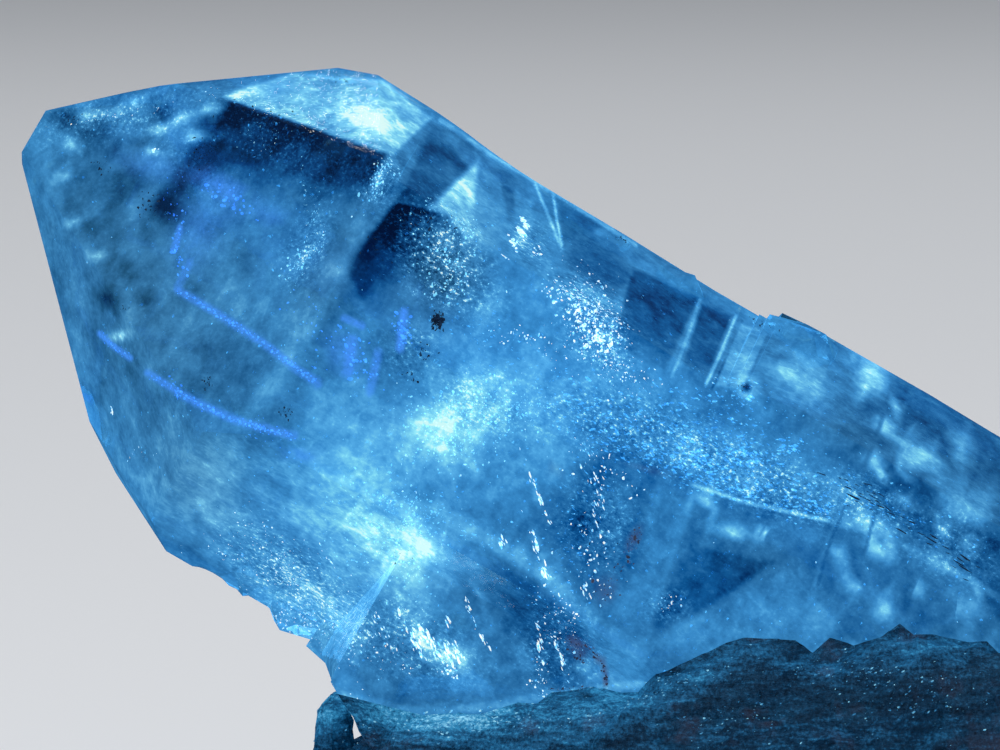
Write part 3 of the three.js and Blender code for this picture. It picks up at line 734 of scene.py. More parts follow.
def layer_mask(layer, places):
    """Where a layer covers the skin, from 0 to 1, and its level and strength."""
    if layer[0] == SEAM:
        _, path, width, level, strength = layer
        mask = ramp_down(to_path(places, flat_path(path)) - width * SEAM_CORE, width)
    elif layer[0] == PATCH:
        _, corners, softness, level, strength, *fade = layer
        corners = flat_path(corners)
        edge = to_path(places, corners + corners[:1])
        signed = np.where(inside_patch(places, corners), -edge, edge)
        mask = ramp_down(signed + softness, softness * 2)
        for ends in fade:
            start, end = np.array(flat_path(ends))
            along = end - start
            mask = mask * ramp_down(((places - start) @ along) / (along @ along), 1.0)
    else:
        px, py, long, wide, turn, level, strength = layer
        away = places - np.array(flat_place((px, py)))
        # Turns are given as seen in the picture, from its level line.
        angle = math.radians(turn) - AXIS_RISE
        along = away @ np.array((math.cos(angle), math.sin(angle)))
        aside = away @ np.array((-math.sin(angle), math.cos(angle)))
        mask = ramp_down(np.hypot(along / long, aside / wide), 1.0)
    return mask * strength, level


def paint(layers, places, start_level):
    levels = np.full(len(places), start_level)
    for layer in layers:
        mask, level = layer_mask(layer, places)
        levels = levels + (level - levels) * mask
    return levels


# %% Cut the crystal faces fine enough for the painted haze glow
# The faces are cut into squares first. Then long edges are halved, round after round, and most
# where a seam or a sharp edge of the painted haze glow runs. The faces stay flat.
SQUARES = 1.5  # mm
COARSE, FINEST = 0.75, 0.08  # mm: the longest edge far from a seam, and the least wanted on one
CUT_ROUNDS = 9
EDGE_SHARE = 0.9  # of a seam's width: the longest edge on it
GROWTH = 1.2  # how fast the edges may get longer away from it
SEARCH_REACH = 2.5  # edge lengths: seams farther off than this don't count
sharp_paths = []  # (points, the width of the change there)
for layer in HAZE_GLOW_LAYERS + OIL_LAYERS:
    if layer[0] in (SEAM, PATCH):
        path = flat_path(layer[1])
        sharp_paths.append((path + path[:1] if layer[0] == PATCH else path, layer[2]))


def flat_places(points):
    """Points in metres as (down, across) in mm."""
    local = (points - np.array(APEX)) / MM
    return local @ np.array((DOWN, ACROSS)).T


def crystal_faces():
    return [face for face in skin.faces if face.material_index == CRYSTAL_SLOT]


for axis in (DOWN, ACROSS):
    reach = [axis.dot(vertex.co - APEX) / MM for vertex in skin.verts]
    place = math.floor(min(reach)) + SQUARES
    while place < max(reach):
        cut_faces(crystal_faces(), APEX + axis * place * MM, axis)
        place += SQUARES
bmesh.ops.triangulate(skin, faces=crystal_faces())
for cut_round in range(CUT_ROUNDS):
    edges = list({edge for face in crystal_faces() for edge in face.edges})
    ends = np.array([(*edge.verts[0].co, *edge.verts[1].co) for edge in edges])
    starts, stops = flat_places(ends[:, :3]), flat_places(ends[:, 3:])
    lengths = np.linalg.norm(starts - stops, axis=1)
    middles = (starts + stops) / 2
    wanted = np.full(len(edges), COARSE)
    for path, width in sharp_paths:
        fine = max(width * EDGE_SHARE, FINEST)
        reach = (width + lengths * SEARCH_REACH)[:, None]
        low, high = np.min(path, axis=0), np.max(path, axis=0)
        near = np.all((middles > low - reach) & (middles < high + reach), axis=1) & (lengths > fine)
        gap = np.maximum(to_path(middles[near], path) - width - lengths[near] / 2, 0)
        wanted[near] = np.minimum(wanted[near], fine + gap * GROWTH)
    cut = [edge for edge, too_long in zip(edges, lengths > wanted) if too_long]
    if not cut:
        break
    bmesh.ops.subdivide_edges(skin, edges=cut, cuts=1)
    bmesh.ops.triangulate(skin, faces=[face for face in crystal_faces() if len(face.verts) > 3])
print("fine skin:", len(skin.faces), "faces")

# %% Finish the skin's mesh and give it its painted haze glow
for face in skin.faces:
    face.smooth = is_rough(face)
crystal_mesh = bpy.data.meshes.new("quartz_skin")
skin.to_mesh(crystal_mesh)
skin.free()
crystal = bpy.data.objects.new("quartz_skin", crystal_mesh)
bpy.context.scene.collection.objects.link(crystal)

points = np.zeros(len(crystal_mesh.vertices) * 3)
crystal_mesh.vertices.foreach_get("co", points)
places = flat_places(points.reshape(-1, 3))
PAINTS = {  # the layers of each, and the level under them
    "haze_glow": (HAZE_GLOW_LAYERS, 0.46),
    "blueness": (BLUE_LAYERS, 0.6),
    "oil": (OIL_LAYERS, 0.0),
    "lit_foot": (FOOT_LAYERS, 0.25),
    "glitter": (GLITTER_LAYERS, 0.10),
    "rust": (RUST_LAYERS, 0.0),
}
for name, (layers, start_level) in PAINTS.items():
    levels = paint(layers, places, start_level)
    crystal_mesh.attributes.new(name, "FLOAT", "POINT").data.foreach_set("value", levels)
    print(name, "runs from", round(levels.min(), 2), "to", round(levels.max(), 2))

# %% [markdown]
# ## Clear quartz
# Quartz is clear glass with an index of 1.54. The blue is absorbed light: the longer the way
# through the crystal, the deeper the blue. The haze is a painted glow on top of it, given off by
# the skin, and the volume's own blue glow is painted light too. The glow's colours come from two
# ramps, one for the greyer tip and one for the blue body. Noises of several sizes give it clouds,
# mottling, streaks, wisps and grain.

# %% Colours of the painted haze glow: level, then colour
TIP_GLOW_COLOURS = (
    (0.00, (0.000, 0.000, 0.000)),
    (0.15, (0.003, 0.022, 0.050)),
    (0.30, (0.012, 0.075, 0.145)),
    (0.45, (0.026, 0.136, 0.280)),
    (0.60, (0.046, 0.212, 0.415)),
    (0.75, (0.102, 0.352, 0.575)),
    (0.87, (0.222, 0.630, 0.840)),
    (0.95, (0.460, 0.860, 0.900)),
    (1.00, (0.880, 0.970, 0.880)),
)
BODY_GLOW_COLOURS = (
    (0.00, (0.000, 0.000, 0.000)),
    (0.15, (0.000, 0.030, 0.130)),
    (0.30, (0.003, 0.090, 0.285)),
    (0.45, (0.021, 0.164, 0.400)),
    (0.60, (0.040, 0.262, 0.590)),
    (0.75, (0.084, 0.405, 0.770)),
    (0.87, (0.180, 0.620, 0.850)),
    (0.94, (0.290, 0.830, 0.940)),
    (1.00, (0.560, 0.930, 0.900)),
)
OIL_GLOW_BLUE = (0.060, 0.280, 0.940, 1)
RUST_BROWN = (0.046, 0.062, 0.135, 1)
FAR_HAZE_GLOW = 0.22
BLUE_ABSORPTION = {"Color": (0.08, 0.42, 0.60, 1), "Density": 340.0}  # for each metre
FLUORESCENCE = {"Color": (0.03, 0.20, 1.0, 1), "Strength": 1.6}


def math_node(tree, operation, *values):
    return add_node(tree, "Math", dict(enumerate(values)), operation=operation).outputs[0]


def plus(tree, base, part, share):
    """The base with a share of the part added to it."""
    return math_node(tree, "MULTIPLY_ADD", part, share, base)


def vector_math(tree, operation, vector, other):
    """Two vectors added or taken apart, or with SCALE a vector made longer by a number."""
    values = {0: vector, 3 if operation == "SCALE" else 1: other}
    return add_node(tree, "VectorMath", values, operation=operation).outputs[0]


def mix_colours(tree, share, first, second):
    values = {0: share, 6: first, 7: second}
    return add_node(tree, "Mix", values, data_type="RGBA").outputs[2]


def painted(tree, name):
    """What is painted on the skin under this name."""
    return add_node(tree, "Attribute", attribute_name=name).outputs["Fac"]


def mapped(tree, place, **values):
    return add_node(tree, "Mapping", {"Vector": place, **values}).outputs["Vector"]


def colour_ramp(tree, level, stops):
    node = add_node(tree, "ValToRGB", {"Fac": level})
    elements = node.color_ramp.elements
    for place, colour in stops[1:-1]:
        elements.new(place)
    for element, (place, colour) in zip(elements, stops):
        element.position, element.color = place, (*colour, 1)
    return node.outputs["Color"]


def noise_level(tree, place, scale, detail, roughness=0.6, distortion=0.0):
    """Noise from about -0.5 to 0.5."""
    values = {"Vector": place, "Scale": scale, "Detail": detail, "Roughness": roughness}
    noise_node = add_node(tree, "TexNoise", {**values, "Distortion": distortion})
    return math_node(tree, "SUBTRACT", noise_node.outputs["Fac"], 0.5)


def between(tree, level, low, high, top=1.0):
    """From 0 at the low level to the top value at the high one."""
    values = {"Value": level, "From Min": low, "From Max": high, "To Max": top}
    return add_node(tree, "MapRange", values).outputs["Result"]


# %% Quartz material
# Noises: scale for each mm, detail, roughness, distortion. Shares: how much they move the level.
CLOUD_NOISE, CLOUD_SHARE = (0.8, 5.0, 0.58, 0.15), 0.70
GRAIN_NOISE, GRAIN_SHARE = (12.0, 3.0, 0.75), 0.13
MOTTLE_NOISE, MOTTLE_SHARE = (2.6, 2.0, 0.6, 0.3), 0.34
STREAK_NOISE, STREAK_SHARE = (1.0, 2.0, 0.6), 0.10
WISP_NOISE, WISP_WIDTH, WISP_SHARE = (1.1, 2.0, 0.5, 0.4), 0.06, 0.09
FLASH_START, FLASH_GAIN = 0.05, 3.4
OIL_GRAIN, OIL_SHARE = 2.0, 0.9
FIBRE_LEAN, FIBRE_SCALE = math.radians(14), (5.0, 2.0, 0.7)
GRAIN_DRAW = (0.7, 1.0, 1.0)  # grain is drawn out a little along the crystal
WAVINESS = 0.03 * MM
CLEAR_COLOUR = (0.93, 0.97, 1.0, 1)

quartz, tree, output = new_material("clear_quartz")
object_place = add_node(tree, "TexCoord").outputs["Object"]
# The crystal's own axes in mm: x down, y to the back, z away from the underside.
to_axes = {"Location": APEX, "Rotation": (0, AXIS_RISE, 0), "Scale": (MM,) * 3}
to_axes = add_node(tree, "Mapping", {"Vector": object_place, **to_axes}, vector_type="TEXTURE")
axes = to_axes.outputs["Vector"]
# Fibres lean a little from straight across the crystal.
fibres = mapped(tree, axes, Rotation=(0, FIBRE_LEAN, 0), Scale=FIBRE_SCALE)

painted_haze_glow = painted(tree, "haze_glow")
clouds = noise_level(tree, axes, *CLOUD_NOISE)
grain = noise_level(tree, mapped(tree, axes, Scale=GRAIN_DRAW), *GRAIN_NOISE)
streaks = noise_level(tree, fibres, *STREAK_NOISE)
mottle = noise_level(tree, axes, *MOTTLE_NOISE)
# Wisps lie where a noise passes through its middle, and thicker clouds make them brighter.
wisps = math_node(tree, "ABSOLUTE", noise_level(tree, axes, *WISP_NOISE))
wisps = between(tree, wisps, WISP_WIDTH, 0.0, WISP_SHARE)
haze_glow = plus(tree, painted_haze_glow, clouds, CLOUD_SHARE)
haze_glow = plus(tree, haze_glow, grain, GRAIN_SHARE)
haze_glow = plus(tree, haze_glow, mottle, MOTTLE_SHARE)
haze_glow = plus(tree, haze_glow, streaks, STREAK_SHARE)
haze_glow = math_node(tree, "ADD", haze_glow, math_node(tree, "MULTIPLY", wisps, painted_haze_glow))
# Glitter: where drops crowd, the grain's peaks flash as painted highlights and its hollows go dark
# as painted shade.
flash = math_node(tree, "MAXIMUM", math_node(tree, "SUBTRACT", grain, FLASH_START), 0.0)
flash = plus(tree, math_node(tree, "MINIMUM", grain, 0.0), flash, FLASH_GAIN)
haze_glow = plus(tree, haze_glow, flash, painted(tree, "glitter"))

tip_haze_glow = colour_ramp(tree, haze_glow, TIP_GLOW_COLOURS)
body_haze_glow = colour_ramp(tree, haze_glow, BODY_GLOW_COLOURS)
haze_glow_colour = mix_colours(tree, painted(tree, "blueness"), tip_haze_glow, body_haze_glow)
oil_share = math_node(tree, "MULTIPLY_ADD", grain, OIL_GRAIN, OIL_SHARE)
oil_share = math_node(tree, "MULTIPLY", painted(tree, "oil"), oil_share)
haze_glow_colour = mix_colours(tree, oil_share, haze_glow_colour, OIL_GLOW_BLUE)
haze_glow_colour = mix_colours(tree, painted(tree, "rust"), haze_glow_colour, RUST_BROWN)
# Seen from inside, through the crystal, the far skin's painted haze glow is faint.
inner_side = add_node(tree, "NewGeometry").outputs["Backfacing"]
inner_side = math_node(tree, "MULTIPLY_ADD", inner_side, FAR_HAZE_GLOW - 1.0, 1.0)
haze_glow_colour = vector_math(tree, "SCALE", haze_glow_colour, inner_side)

relief = add_node(tree, "Bump", {"Height": clouds, "Distance": WAVINESS, "Strength": 1.0})
put_surface(
    tree, output, Base_Color=CLEAR_COLOUR, Roughness=0.0, IOR=QUARTZ_INDEX,
    Transmission_Weight=1.0, Normal=relief.outputs["Normal"], Emission_Color=haze_glow_colour,
    Emission_Strength=1.0,
)
absorption = add_node(tree, "VolumeAbsorption", BLUE_ABSORPTION)
# Painted glow: the crystal's volume gives off blue light on its own.
fluorescence = add_node(tree, "Emission", FLUORESCENCE)
body = add_node(tree, "AddShader", {0: absorption.outputs[0], 1: fluorescence.outputs[0]})
tree.links.new(body.outputs[0], output.inputs["Volume"])

# %% Rough foot material
STONE_COLOURS = (
    (0.00, (0.0010, 0.0050, 0.0120)),
    (0.32, (0.0030, 0.0200, 0.0450)),
    (0.50, (0.0060, 0.0450, 0.0950)),
    (0.66, (0.0120, 0.0800, 0.1600)),
    (0.82, (0.0300, 0.1700, 0.3000)),
    (1.00, (0.1300, 0.4200, 0.5800)),
)
FOOT_GLOW = (
    (0.00, (0.000, 0.000, 0.000)),
    (0.35, (0.000, 0.012, 0.035)),
    (0.60, (0.006, 0.075, 0.180)),
    (0.80, (0.030, 0.240, 0.460)),
    (1.00, (0.300, 0.700, 0.900)),
)
RUST_COLOUR = (0.055, 0.022, 0.014, 1)
LAYER_SCALE = (1.4 / MM, 1.6 / MM, 5.5 / MM)
LAYER_NOISE, GRIT_NOISE, BLOT_NOISE = (1.0, 5.0, 0.7, 0.3), (11.0 / MM, 3.0, 0.7), (0.7 / MM, 3.0)
STONE_LEVEL = 0.45
STONE_SHARES = {"layers": 0.9, "grit": 0.7, "blots": 0.5}
GLOW_SHARES = {"layers": 0.9, "grit": 0.8}
STONE_ROUGHNESS, GRIT_ROUGHNESS = 0.42, 0.5
STONE_RELIEF, GRIT_RELIEF = 0.11 * MM, 0.6
RUST_FROM, RUST_FULL = 0.06, 0.16

stone, tree, output = new_material("rough_stone")
object_place = add_node(tree, "TexCoord").outputs["Object"]
# The layers climb to the right, so the pattern is turned and drawn out along them.
along_layers = mapped(tree, object_place, Rotation=(0, LEDGE_CLIMB, 0), Scale=LAYER_SCALE)
layer_level = noise_level(tree, along_layers, *LAYER_NOISE)
grit_level = noise_level(tree, object_place, *GRIT_NOISE)
blot_level = noise_level(tree, object_place, *BLOT_NOISE)
level = plus(tree, STONE_LEVEL, layer_level, STONE_SHARES["layers"])
level = plus(tree, level, grit_level, STONE_SHARES["grit"])
level = plus(tree, level, blot_level, STONE_SHARES["blots"])
stone_colour = colour_ramp(tree, level, STONE_COLOURS)
# Rust fills the thickest blots, and shows in the layers that stand out.
rusty = between(tree, blot_level, RUST_FROM, RUST_FULL)
rusty = math_node(tree, "MULTIPLY", rusty, math_node(tree, "ADD", layer_level, 0.5))
stone_colour = mix_colours(tree, rusty, stone_colour, RUST_COLOUR)
# The foot's painted glow, where light from inside shows through it
lit = plus(tree, painted(tree, "lit_foot"), layer_level, GLOW_SHARES["layers"])
lit = plus(tree, lit, grit_level, GLOW_SHARES["grit"])
height = plus(tree, layer_level, grit_level, GRIT_RELIEF)
relief = add_node(tree, "Bump", {"Height": height, "Distance": STONE_RELIEF, "Strength": 1.0})
put_surface(
    tree, output, Base_Color=stone_colour, IOR=QUARTZ_INDEX,
    Roughness=plus(tree, STONE_ROUGHNESS, grit_level, GRIT_ROUGHNESS),
    Normal=relief.outputs["Normal"], Emission_Color=colour_ramp(tree, lit, FOOT_GLOW),
    Emission_Strength=1.0,
)

for material in (quartz, stone):
    crystal_mesh.materials.append(material)
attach(crystal, "root")
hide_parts("quartz_crystal")

# %% [markdown]
# ## Small inclusions
# Drops, flakes and needles float inside by the thousand. Each kind is a cloud of points, and a
# Geometry Nodes tree puts a small crumpled flake on every point. One tree serves every kind,
# because its sizes, lean and finish are inputs. A flake has 20 faces, which is enough at this size.


# %% The scatter tree
FLAKE_INPUTS = {"Size": 0.03, "Width": 1.0, "Depth": 1.0, "Length": 1.0, "Size Spread": 0.4,
                "Tumble": 3.14, "Crumple": 0.01}
CRUMPLE_SCALE = 26.0 / MM
CRUMPLE_REACH = 2 * MM  # the noise runs from -0.5 to 0.5, and this makes it 1 mm each way


def build_scatter_tree():
    tree = bpy.data.node_groups.new("scatter_flakes", "GeometryNodeTree")

    def add_socket(name, kind, in_out="INPUT"):
        kind = "NodeSocket" + kind
        return tree.interface.new_socket(name=name, in_out=in_out, socket_type=kind)

    add_socket("Points", "Geometry")
    add_socket("Flakes", "Geometry", "OUTPUT")
    for name, default in FLAKE_INPUTS.items():
        add_socket(name, "Float").default_value = default
    add_socket("Lean", "Vector")
    add_socket("Seed", "Int").default_value = 1
    add_socket("Finish", "Material")
    given = tree.nodes.new("NodeGroupInput").outputs
    flake = add_node(tree, "GeometryNodeMeshIcoSphere", {"Radius": MM, "Subdivisions": 1})

    most = vector_math(tree, "SCALE", (1, 1, 1), given["Tumble"])
    least = vector_math(tree, "SCALE", most, -1.0)
    turn = {"Min": least, "Max": most, "Seed": given["Seed"]}
    turn = add_node(tree, "FunctionNodeRandomValue", turn, data_type="FLOAT_VECTOR")
    turn = vector_math(tree, "ADD", turn.outputs["Value"], given["Lean"])

    low = math_node(tree, "SUBTRACT", 1.0, given["Size Spread"])
    high = math_node(tree, "ADD", 1.0, given["Size Spread"])
    share = {2: low, 3: high, "Seed": given["Seed"]}
    share = add_node(tree, "FunctionNodeRandomValue", share, data_type="FLOAT").outputs[1]
    own = add_node(tree, "GeometryNodeInputNamedAttribute", {"Name": "size"}, data_type="FLOAT")
    size = math_node(tree, "MULTIPLY", share, own.outputs["Attribute"])
    size = math_node(tree, "MULTIPLY", size, given["Size"])
    stretch = {"X": given["Width"], "Y": given["Depth"], "Z": given["Length"]}
    stretch = vector_math(tree, "SCALE", add_node(tree, "CombineXYZ", stretch).outputs[0], size)
    flakes = {"Points": given["Points"], "Instance": flake.outputs["Mesh"], "Rotation": turn,
              "Scale": stretch}
    flakes = add_node(tree, "GeometryNodeInstanceOnPoints", flakes).outputs["Instances"]
    whole = add_node(tree, "GeometryNodeRealizeInstances", {"Geometry": flakes}).outputs[0]

    place = add_node(tree, "GeometryNodeInputPosition").outputs[0]
    crumple = {"Vector": place, "Scale": CRUMPLE_SCALE, "Detail": 1.0}
    crumple = add_node(tree, "TexNoise", crumple, noise_dimensions="3D").outputs["Color"]
    crumple = vector_math(tree, "SUBTRACT", crumple, (0.5, 0.5, 0.5))
    amount = math_node(tree, "MULTIPLY", given["Crumple"], CRUMPLE_REACH)
    crumple = vector_math(tree, "SCALE", crumple, amount)
    shaped = {"Geometry": whole, "Offset": crumple}
    shaped = add_node(tree, "GeometryNodeSetPosition", shaped).outputs[0]
    finished = {"Geometry": shaped, "Material": given["Finish"]}
    finished = add_node(tree, "GeometryNodeSetMaterial", finished).outputs[0]
    tree.links.new(finished, tree.nodes.new("NodeGroupOutput").inputs["Flakes"])
    return tree


scatter = build_scatter_tree()


def grow_flakes(name, spots, finish, **inputs):
    """A plain mesh of flakes on (place, size) spots, riding on the crystal."""
    mesh = bpy.data.meshes.new(name + "_points")
    mesh.from_pydata([place for place, _ in spots], [], [])
    sizes = mesh.attributes.new("size", "FLOAT", "POINT")
    sizes.data.foreach_set("value", [size for _, size in spots])
    source = bpy.data.objects.new(name + "_points", mesh)
    bpy.context.scene.collection.objects.link(source)
    modifier = source.modifiers.new("scatter", "NODES")
    modifier.node_group = scatter
    sockets = {item.name: item.identifier for item in scatter.interface.items_tree}
    for key, value in {**inputs, "Finish": finish}.items():
        modifier[sockets[key.replace("_", " ")]] = value
    graph = bpy.context.evaluated_depsgraph_get()
    plain = bpy.data.meshes.new_from_object(source.evaluated_get(graph))
    bpy.data.objects.remove(source)
    plain.name = name
    if "size" in plain.attributes:
        plain.attributes.remove(plain.attributes["size"])
    piece = bpy.data.objects.new(name, plain)
    bpy.context.scene.collection.objects.link(piece)
    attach(piece, "root")
    print(name, "-", len(spots), "spots,", len(plain.polygons), "faces")


# %% Where the spots go: blobs and paths, given as they are seen
SMALL_BIAS = 2.5  # the higher, the more of the spots are small
BLOB_SPREAD = 0.5


def uneven(dice, least, most):
    return least + (most - least) * dice.random() ** SMALL_BIAS


def add_spot(spots, dice, px, py, depth, least, most):
    """Adds a spot at a depth between two bounds in mm. A spot beside the crystal is left out."""
    place = sight(px, py, dice.uniform(*depth))
    if place is not None:
        spots.append((place, uneven(dice, least, most)))


def in_blobs(dice, depth, *rows):
    """Spots that thin out from the middle of slanted blobs.

    A row is x, y, two radii, turn in degrees, count, least size and most size. All but the sizes
    are as seen in the picture. A size is a share of the flake's own.
    """
    spots = []
    for x, y, long, wide, turn, count, least, most in rows:
        turn = math.radians(turn)
        for _ in range(count):
            along, aside = dice.gauss(0, BLOB_SPREAD) * long, dice.gauss(0, BLOB_SPREAD) * wide
            px = x + along * math.cos(turn) - aside * math.sin(turn)
            py = y + along * math.sin(turn) + aside * math.cos(turn)
            add_spot(spots, dice, px, py, depth, least, most)
    return spots


def along_paths(dice, depth, *rows):
    """Spots along bent lines.

    A row is count, spread across the line, least size, most size, then x and y of each point.
    """
    spots = []
    for count, spread, least, most, *path in rows:
        path = [Vector(point) for point in zip(path[::2], path[1::2])]
        lengths = [(end - start).length for start, end in zip(path, path[1:])]
        for index in range(count):
            reach = (index + dice.random()) / count * sum(lengths)
            step = 0
            while step < len(lengths) - 1 and reach > lengths[step]:
                reach -= lengths[step]
                step += 1
            spot = path[step].lerp(path[step + 1], reach / lengths[step])
            px, py = spot.x + dice.gauss(0, spread), spot.y + dice.gauss(0, spread)
            add_spot(spots, dice, px, py, depth, least, most)
    return spots


# %% Finishes of the inclusions
WANDER = 1.6
DARK_BODY = (0.01, 0.02, 0.04, 1)


def glowing_finish(name, strength, scale, *colours, roughness=0.3):
    """Small bright bodies. Their colour wanders between the given ones, `scale` times a mm."""
    material, tree, output = new_material(name)
    place = add_node(tree, "TexCoord").outputs["Object"]
    wander = plus(tree, 0.5, noise_level(tree, place, scale / MM, 1.0), WANDER)
    put_surface(
        tree, output, Base_Color=DARK_BODY, Roughness=roughness,
        Emission_Color=colour_ramp(tree, wander, colours), Emission_Strength=strength,
    )
    return material


sparkle = glowing_finish(
    "sparkle", 1.15, 11.0,
    (0.0, (0.02, 0.20, 0.75)), (0.3, (0.15, 0.60, 0.95)), (0.5, (0.75, 0.95, 0.95)),
    (0.65, (1.0, 0.97, 0.82)), (0.8, (1.0, 0.78, 0.42)), (1.0, (0.85, 0.50, 0.18)),
)
glowing_droplet = glowing_finish(
    "glowing_crack_droplet", 1.0, 14.0,
    (0.0, (0.001, 0.03, 0.14)), (0.35, (0.010, 0.14, 0.50)), (0.55, (0.05, 0.36, 0.85)),
    (0.8, (0.15, 0.62, 0.95)), (1.0, (0.75, 0.97, 1.0)),
)
oil = glowing_finish(
    "glowing_oil", 1.0, 8.0,
    (0.0, (0.005, 0.05, 0.45)), (0.5, (0.02, 0.16, 0.95)), (1.0, (0.08, 0.38, 1.0)),
)
cloud_light = glowing_finish(
    "cloud_light", 1.0, 8.0,
    (0.0, (0.06, 0.40, 0.85)), (0.6, (0.25, 0.75, 0.95)), (1.0, (0.9, 0.97, 0.92)),
)
tar = glowing_finish(
    "dark_tar", 1.0, 5.0,
    (0.0, (0.0, 0.001, 0.004)), (0.6, (0.001, 0.006, 0.02)), (1.0, (0.0, 0.03, 0.10)),
    roughness=0.15,
)
foot_glint = glowing_finish(
    "foot_glint", 1.0, 9.0,
    (0.0, (0.004, 0.04, 0.12)), (0.5, (0.03, 0.20, 0.42)), (0.8, (0.25, 0.65, 0.85)),
    (1.0, (0.8, 0.95, 1.0)),
)
rust = glowing_finish(
    "rust_stain", 1.0, 4.0,
    (0.0, (0.006, 0.014, 0.04)), (0.5, (0.016, 0.022, 0.05)), (1.0, (0.05, 0.048, 0.08)),
    roughness=0.6,
)

# %% [markdown]
# ## Sparkles
# Gas bubbles and flat cracks mirror the lamp as white and gold sparks, which are painted here:
# small glowing flakes as painted reflections. The thick cluster sits under the side face, and
# smaller groups follow it down to the lower face, where long thin ones lean the way the crystal's
# inner cracks do.

# %% Gold and white sparkles
BLUNT = {"Size": 0.021, "Width": 1.2, "Depth": 0.5, "Length": 0.9, "Crumple": 0.022}

spots = in_blobs(
    random.Random(11), (0.15, 0.9),
    (596, 326, 62, 26, 62, 560, 0.3, 1.5), (590, 330, 40, 17, 60, 64, 1.2, 2.8),
    (604, 290, 16, 8, 60, 12, 1.2, 2.4), (628, 372, 30, 12, 40, 60, 0.3, 1.1),
    (524, 222, 7, 3, 60, 6, 3, 5.5), (520, 232, 10, 4, 60, 10, 2, 5),
    (514, 243, 10, 4, 60, 10, 1.6, 4), (536, 252, 9, 5, 60, 14, 1, 2.6),
    (548, 292, 12, 8, 60, 16, 0.8, 2.2), (530, 338, 22, 8, 15, 20, 0.6, 2.2),
    (500, 335, 20, 12, 0, 16, 0.4, 1.2), (560, 350, 40, 26, 20, 60, 0.3, 0.9),
    (595, 560, 46, 20, 80, 60, 0.5, 1.7), (610, 470, 40, 18, 20, 36, 0.5, 1.8),
    (560, 620, 40, 22, 80, 60, 0.5, 1.7), (540, 680, 24, 10, 80, 44, 0.5, 1.4),
    (280, 560, 60, 34, 40, 200, 0.3, 1.1), (320, 620, 60, 30, 40, 150, 0.3, 1.2),
    (265, 610, 40, 10, 38, 60, 0.3, 1.3), (230, 555, 36, 12, 20, 40, 0.3, 1.3),
    (450, 672, 14, 6, 10, 26, 0.8, 2), (380, 640, 50, 40, 30, 90, 0.3, 1.2),
    (667, 605, 12, 10, 0, 26, 0.4, 1.5), (112, 410, 3, 5, 0, 5, 1, 2.6),
    (140, 455, 18, 10, 0, 14, 0.3, 1.2), (120, 115, 60, 5, -10, 40, 0.3, 0.9),
    (155, 150, 3, 3, 0, 8, 0.8, 1.6),
)
grow_flakes("gold_sparkles", spots, sparkle, **BLUNT, Seed=3)

# %% Pale sparkles
spots = in_blobs(
    random.Random(14), (0.1, 0.6),
    (447, 245, 52, 30, 60, 190, 0.3, 1.4), (455, 262, 24, 15, 60, 50, 0.6, 2),
    (440, 290, 28, 16, 40, 70, 0.3, 1.6), (378, 178, 26, 8, 115, 90, 0.4, 2),
    (300, 262, 28, 12, 130, 110, 0.3, 1.6), (318, 225, 40, 9, 80, 70, 0.2, 1),
    (305, 200, 36, 2, 86, 26, 0.3, 0.8), (260, 140, 30, 20, 20, 40, 0.2, 0.7),
    (470, 225, 18, 8, 40, 30, 0.3, 1.2),
)
grow_flakes("pale_sparkles", spots, cloud_light, **BLUNT, Seed=4)

# %% Leaning sparkles
spots = in_blobs(
    random.Random(12), (0.15, 1.0),
    (413, 636, 22, 6, 62, 22, 0.8, 2.2), (428, 642, 22, 6, 60, 22, 0.8, 2.4),
    (452, 652, 18, 12, 60, 34, 0.9, 2.4), (382, 628, 26, 4, 66, 14, 0.6, 1.6),
    (470, 610, 22, 3, 70, 14, 0.6, 1.8), (484, 640, 14, 3, 62, 12, 0.6, 1.8),
    (538, 495, 34, 2, 68, 26, 0.6, 1.8), (535, 540, 30, 3, 68, 20, 0.6, 1.6),
    (545, 570, 18, 3, 66, 14, 0.8, 2), (503, 540, 6, 4, 80, 6, 1.2, 2.6),
    (448, 620, 8, 3, 100, 6, 1, 2.4), (595, 510, 16, 3, 88, 10, 0.8, 2),
    (540, 640, 20, 3, 80, 16, 0.8, 2), (560, 655, 22, 3, 72, 16, 0.8, 2),
    (585, 590, 14, 3, 60, 10, 0.8, 1.8), (588, 460, 40, 14, 70, 30, 0.4, 1.2),
    (603, 505, 26, 3, 78, 16, 0.5, 1.6), (330, 560, 20, 3, 60, 10, 0.4, 1.2),
)
grow_flakes("leaning_sparkles", spots, sparkle, Size=0.015, Width=0.9, Depth=0.6, Length=3.6,
            Tumble=0.22, Lean=(0.0, math.radians(-25), 0.0), Crumple=0.02, Seed=5)

# %% [markdown]
# ## The healed crack
# A crack once ran through the middle of the crystal and grew shut. It left a bright band of
# flat blue drops in a sheet, dense along its lower edge, like a fingerprint. The drops' glow is
# painted light.

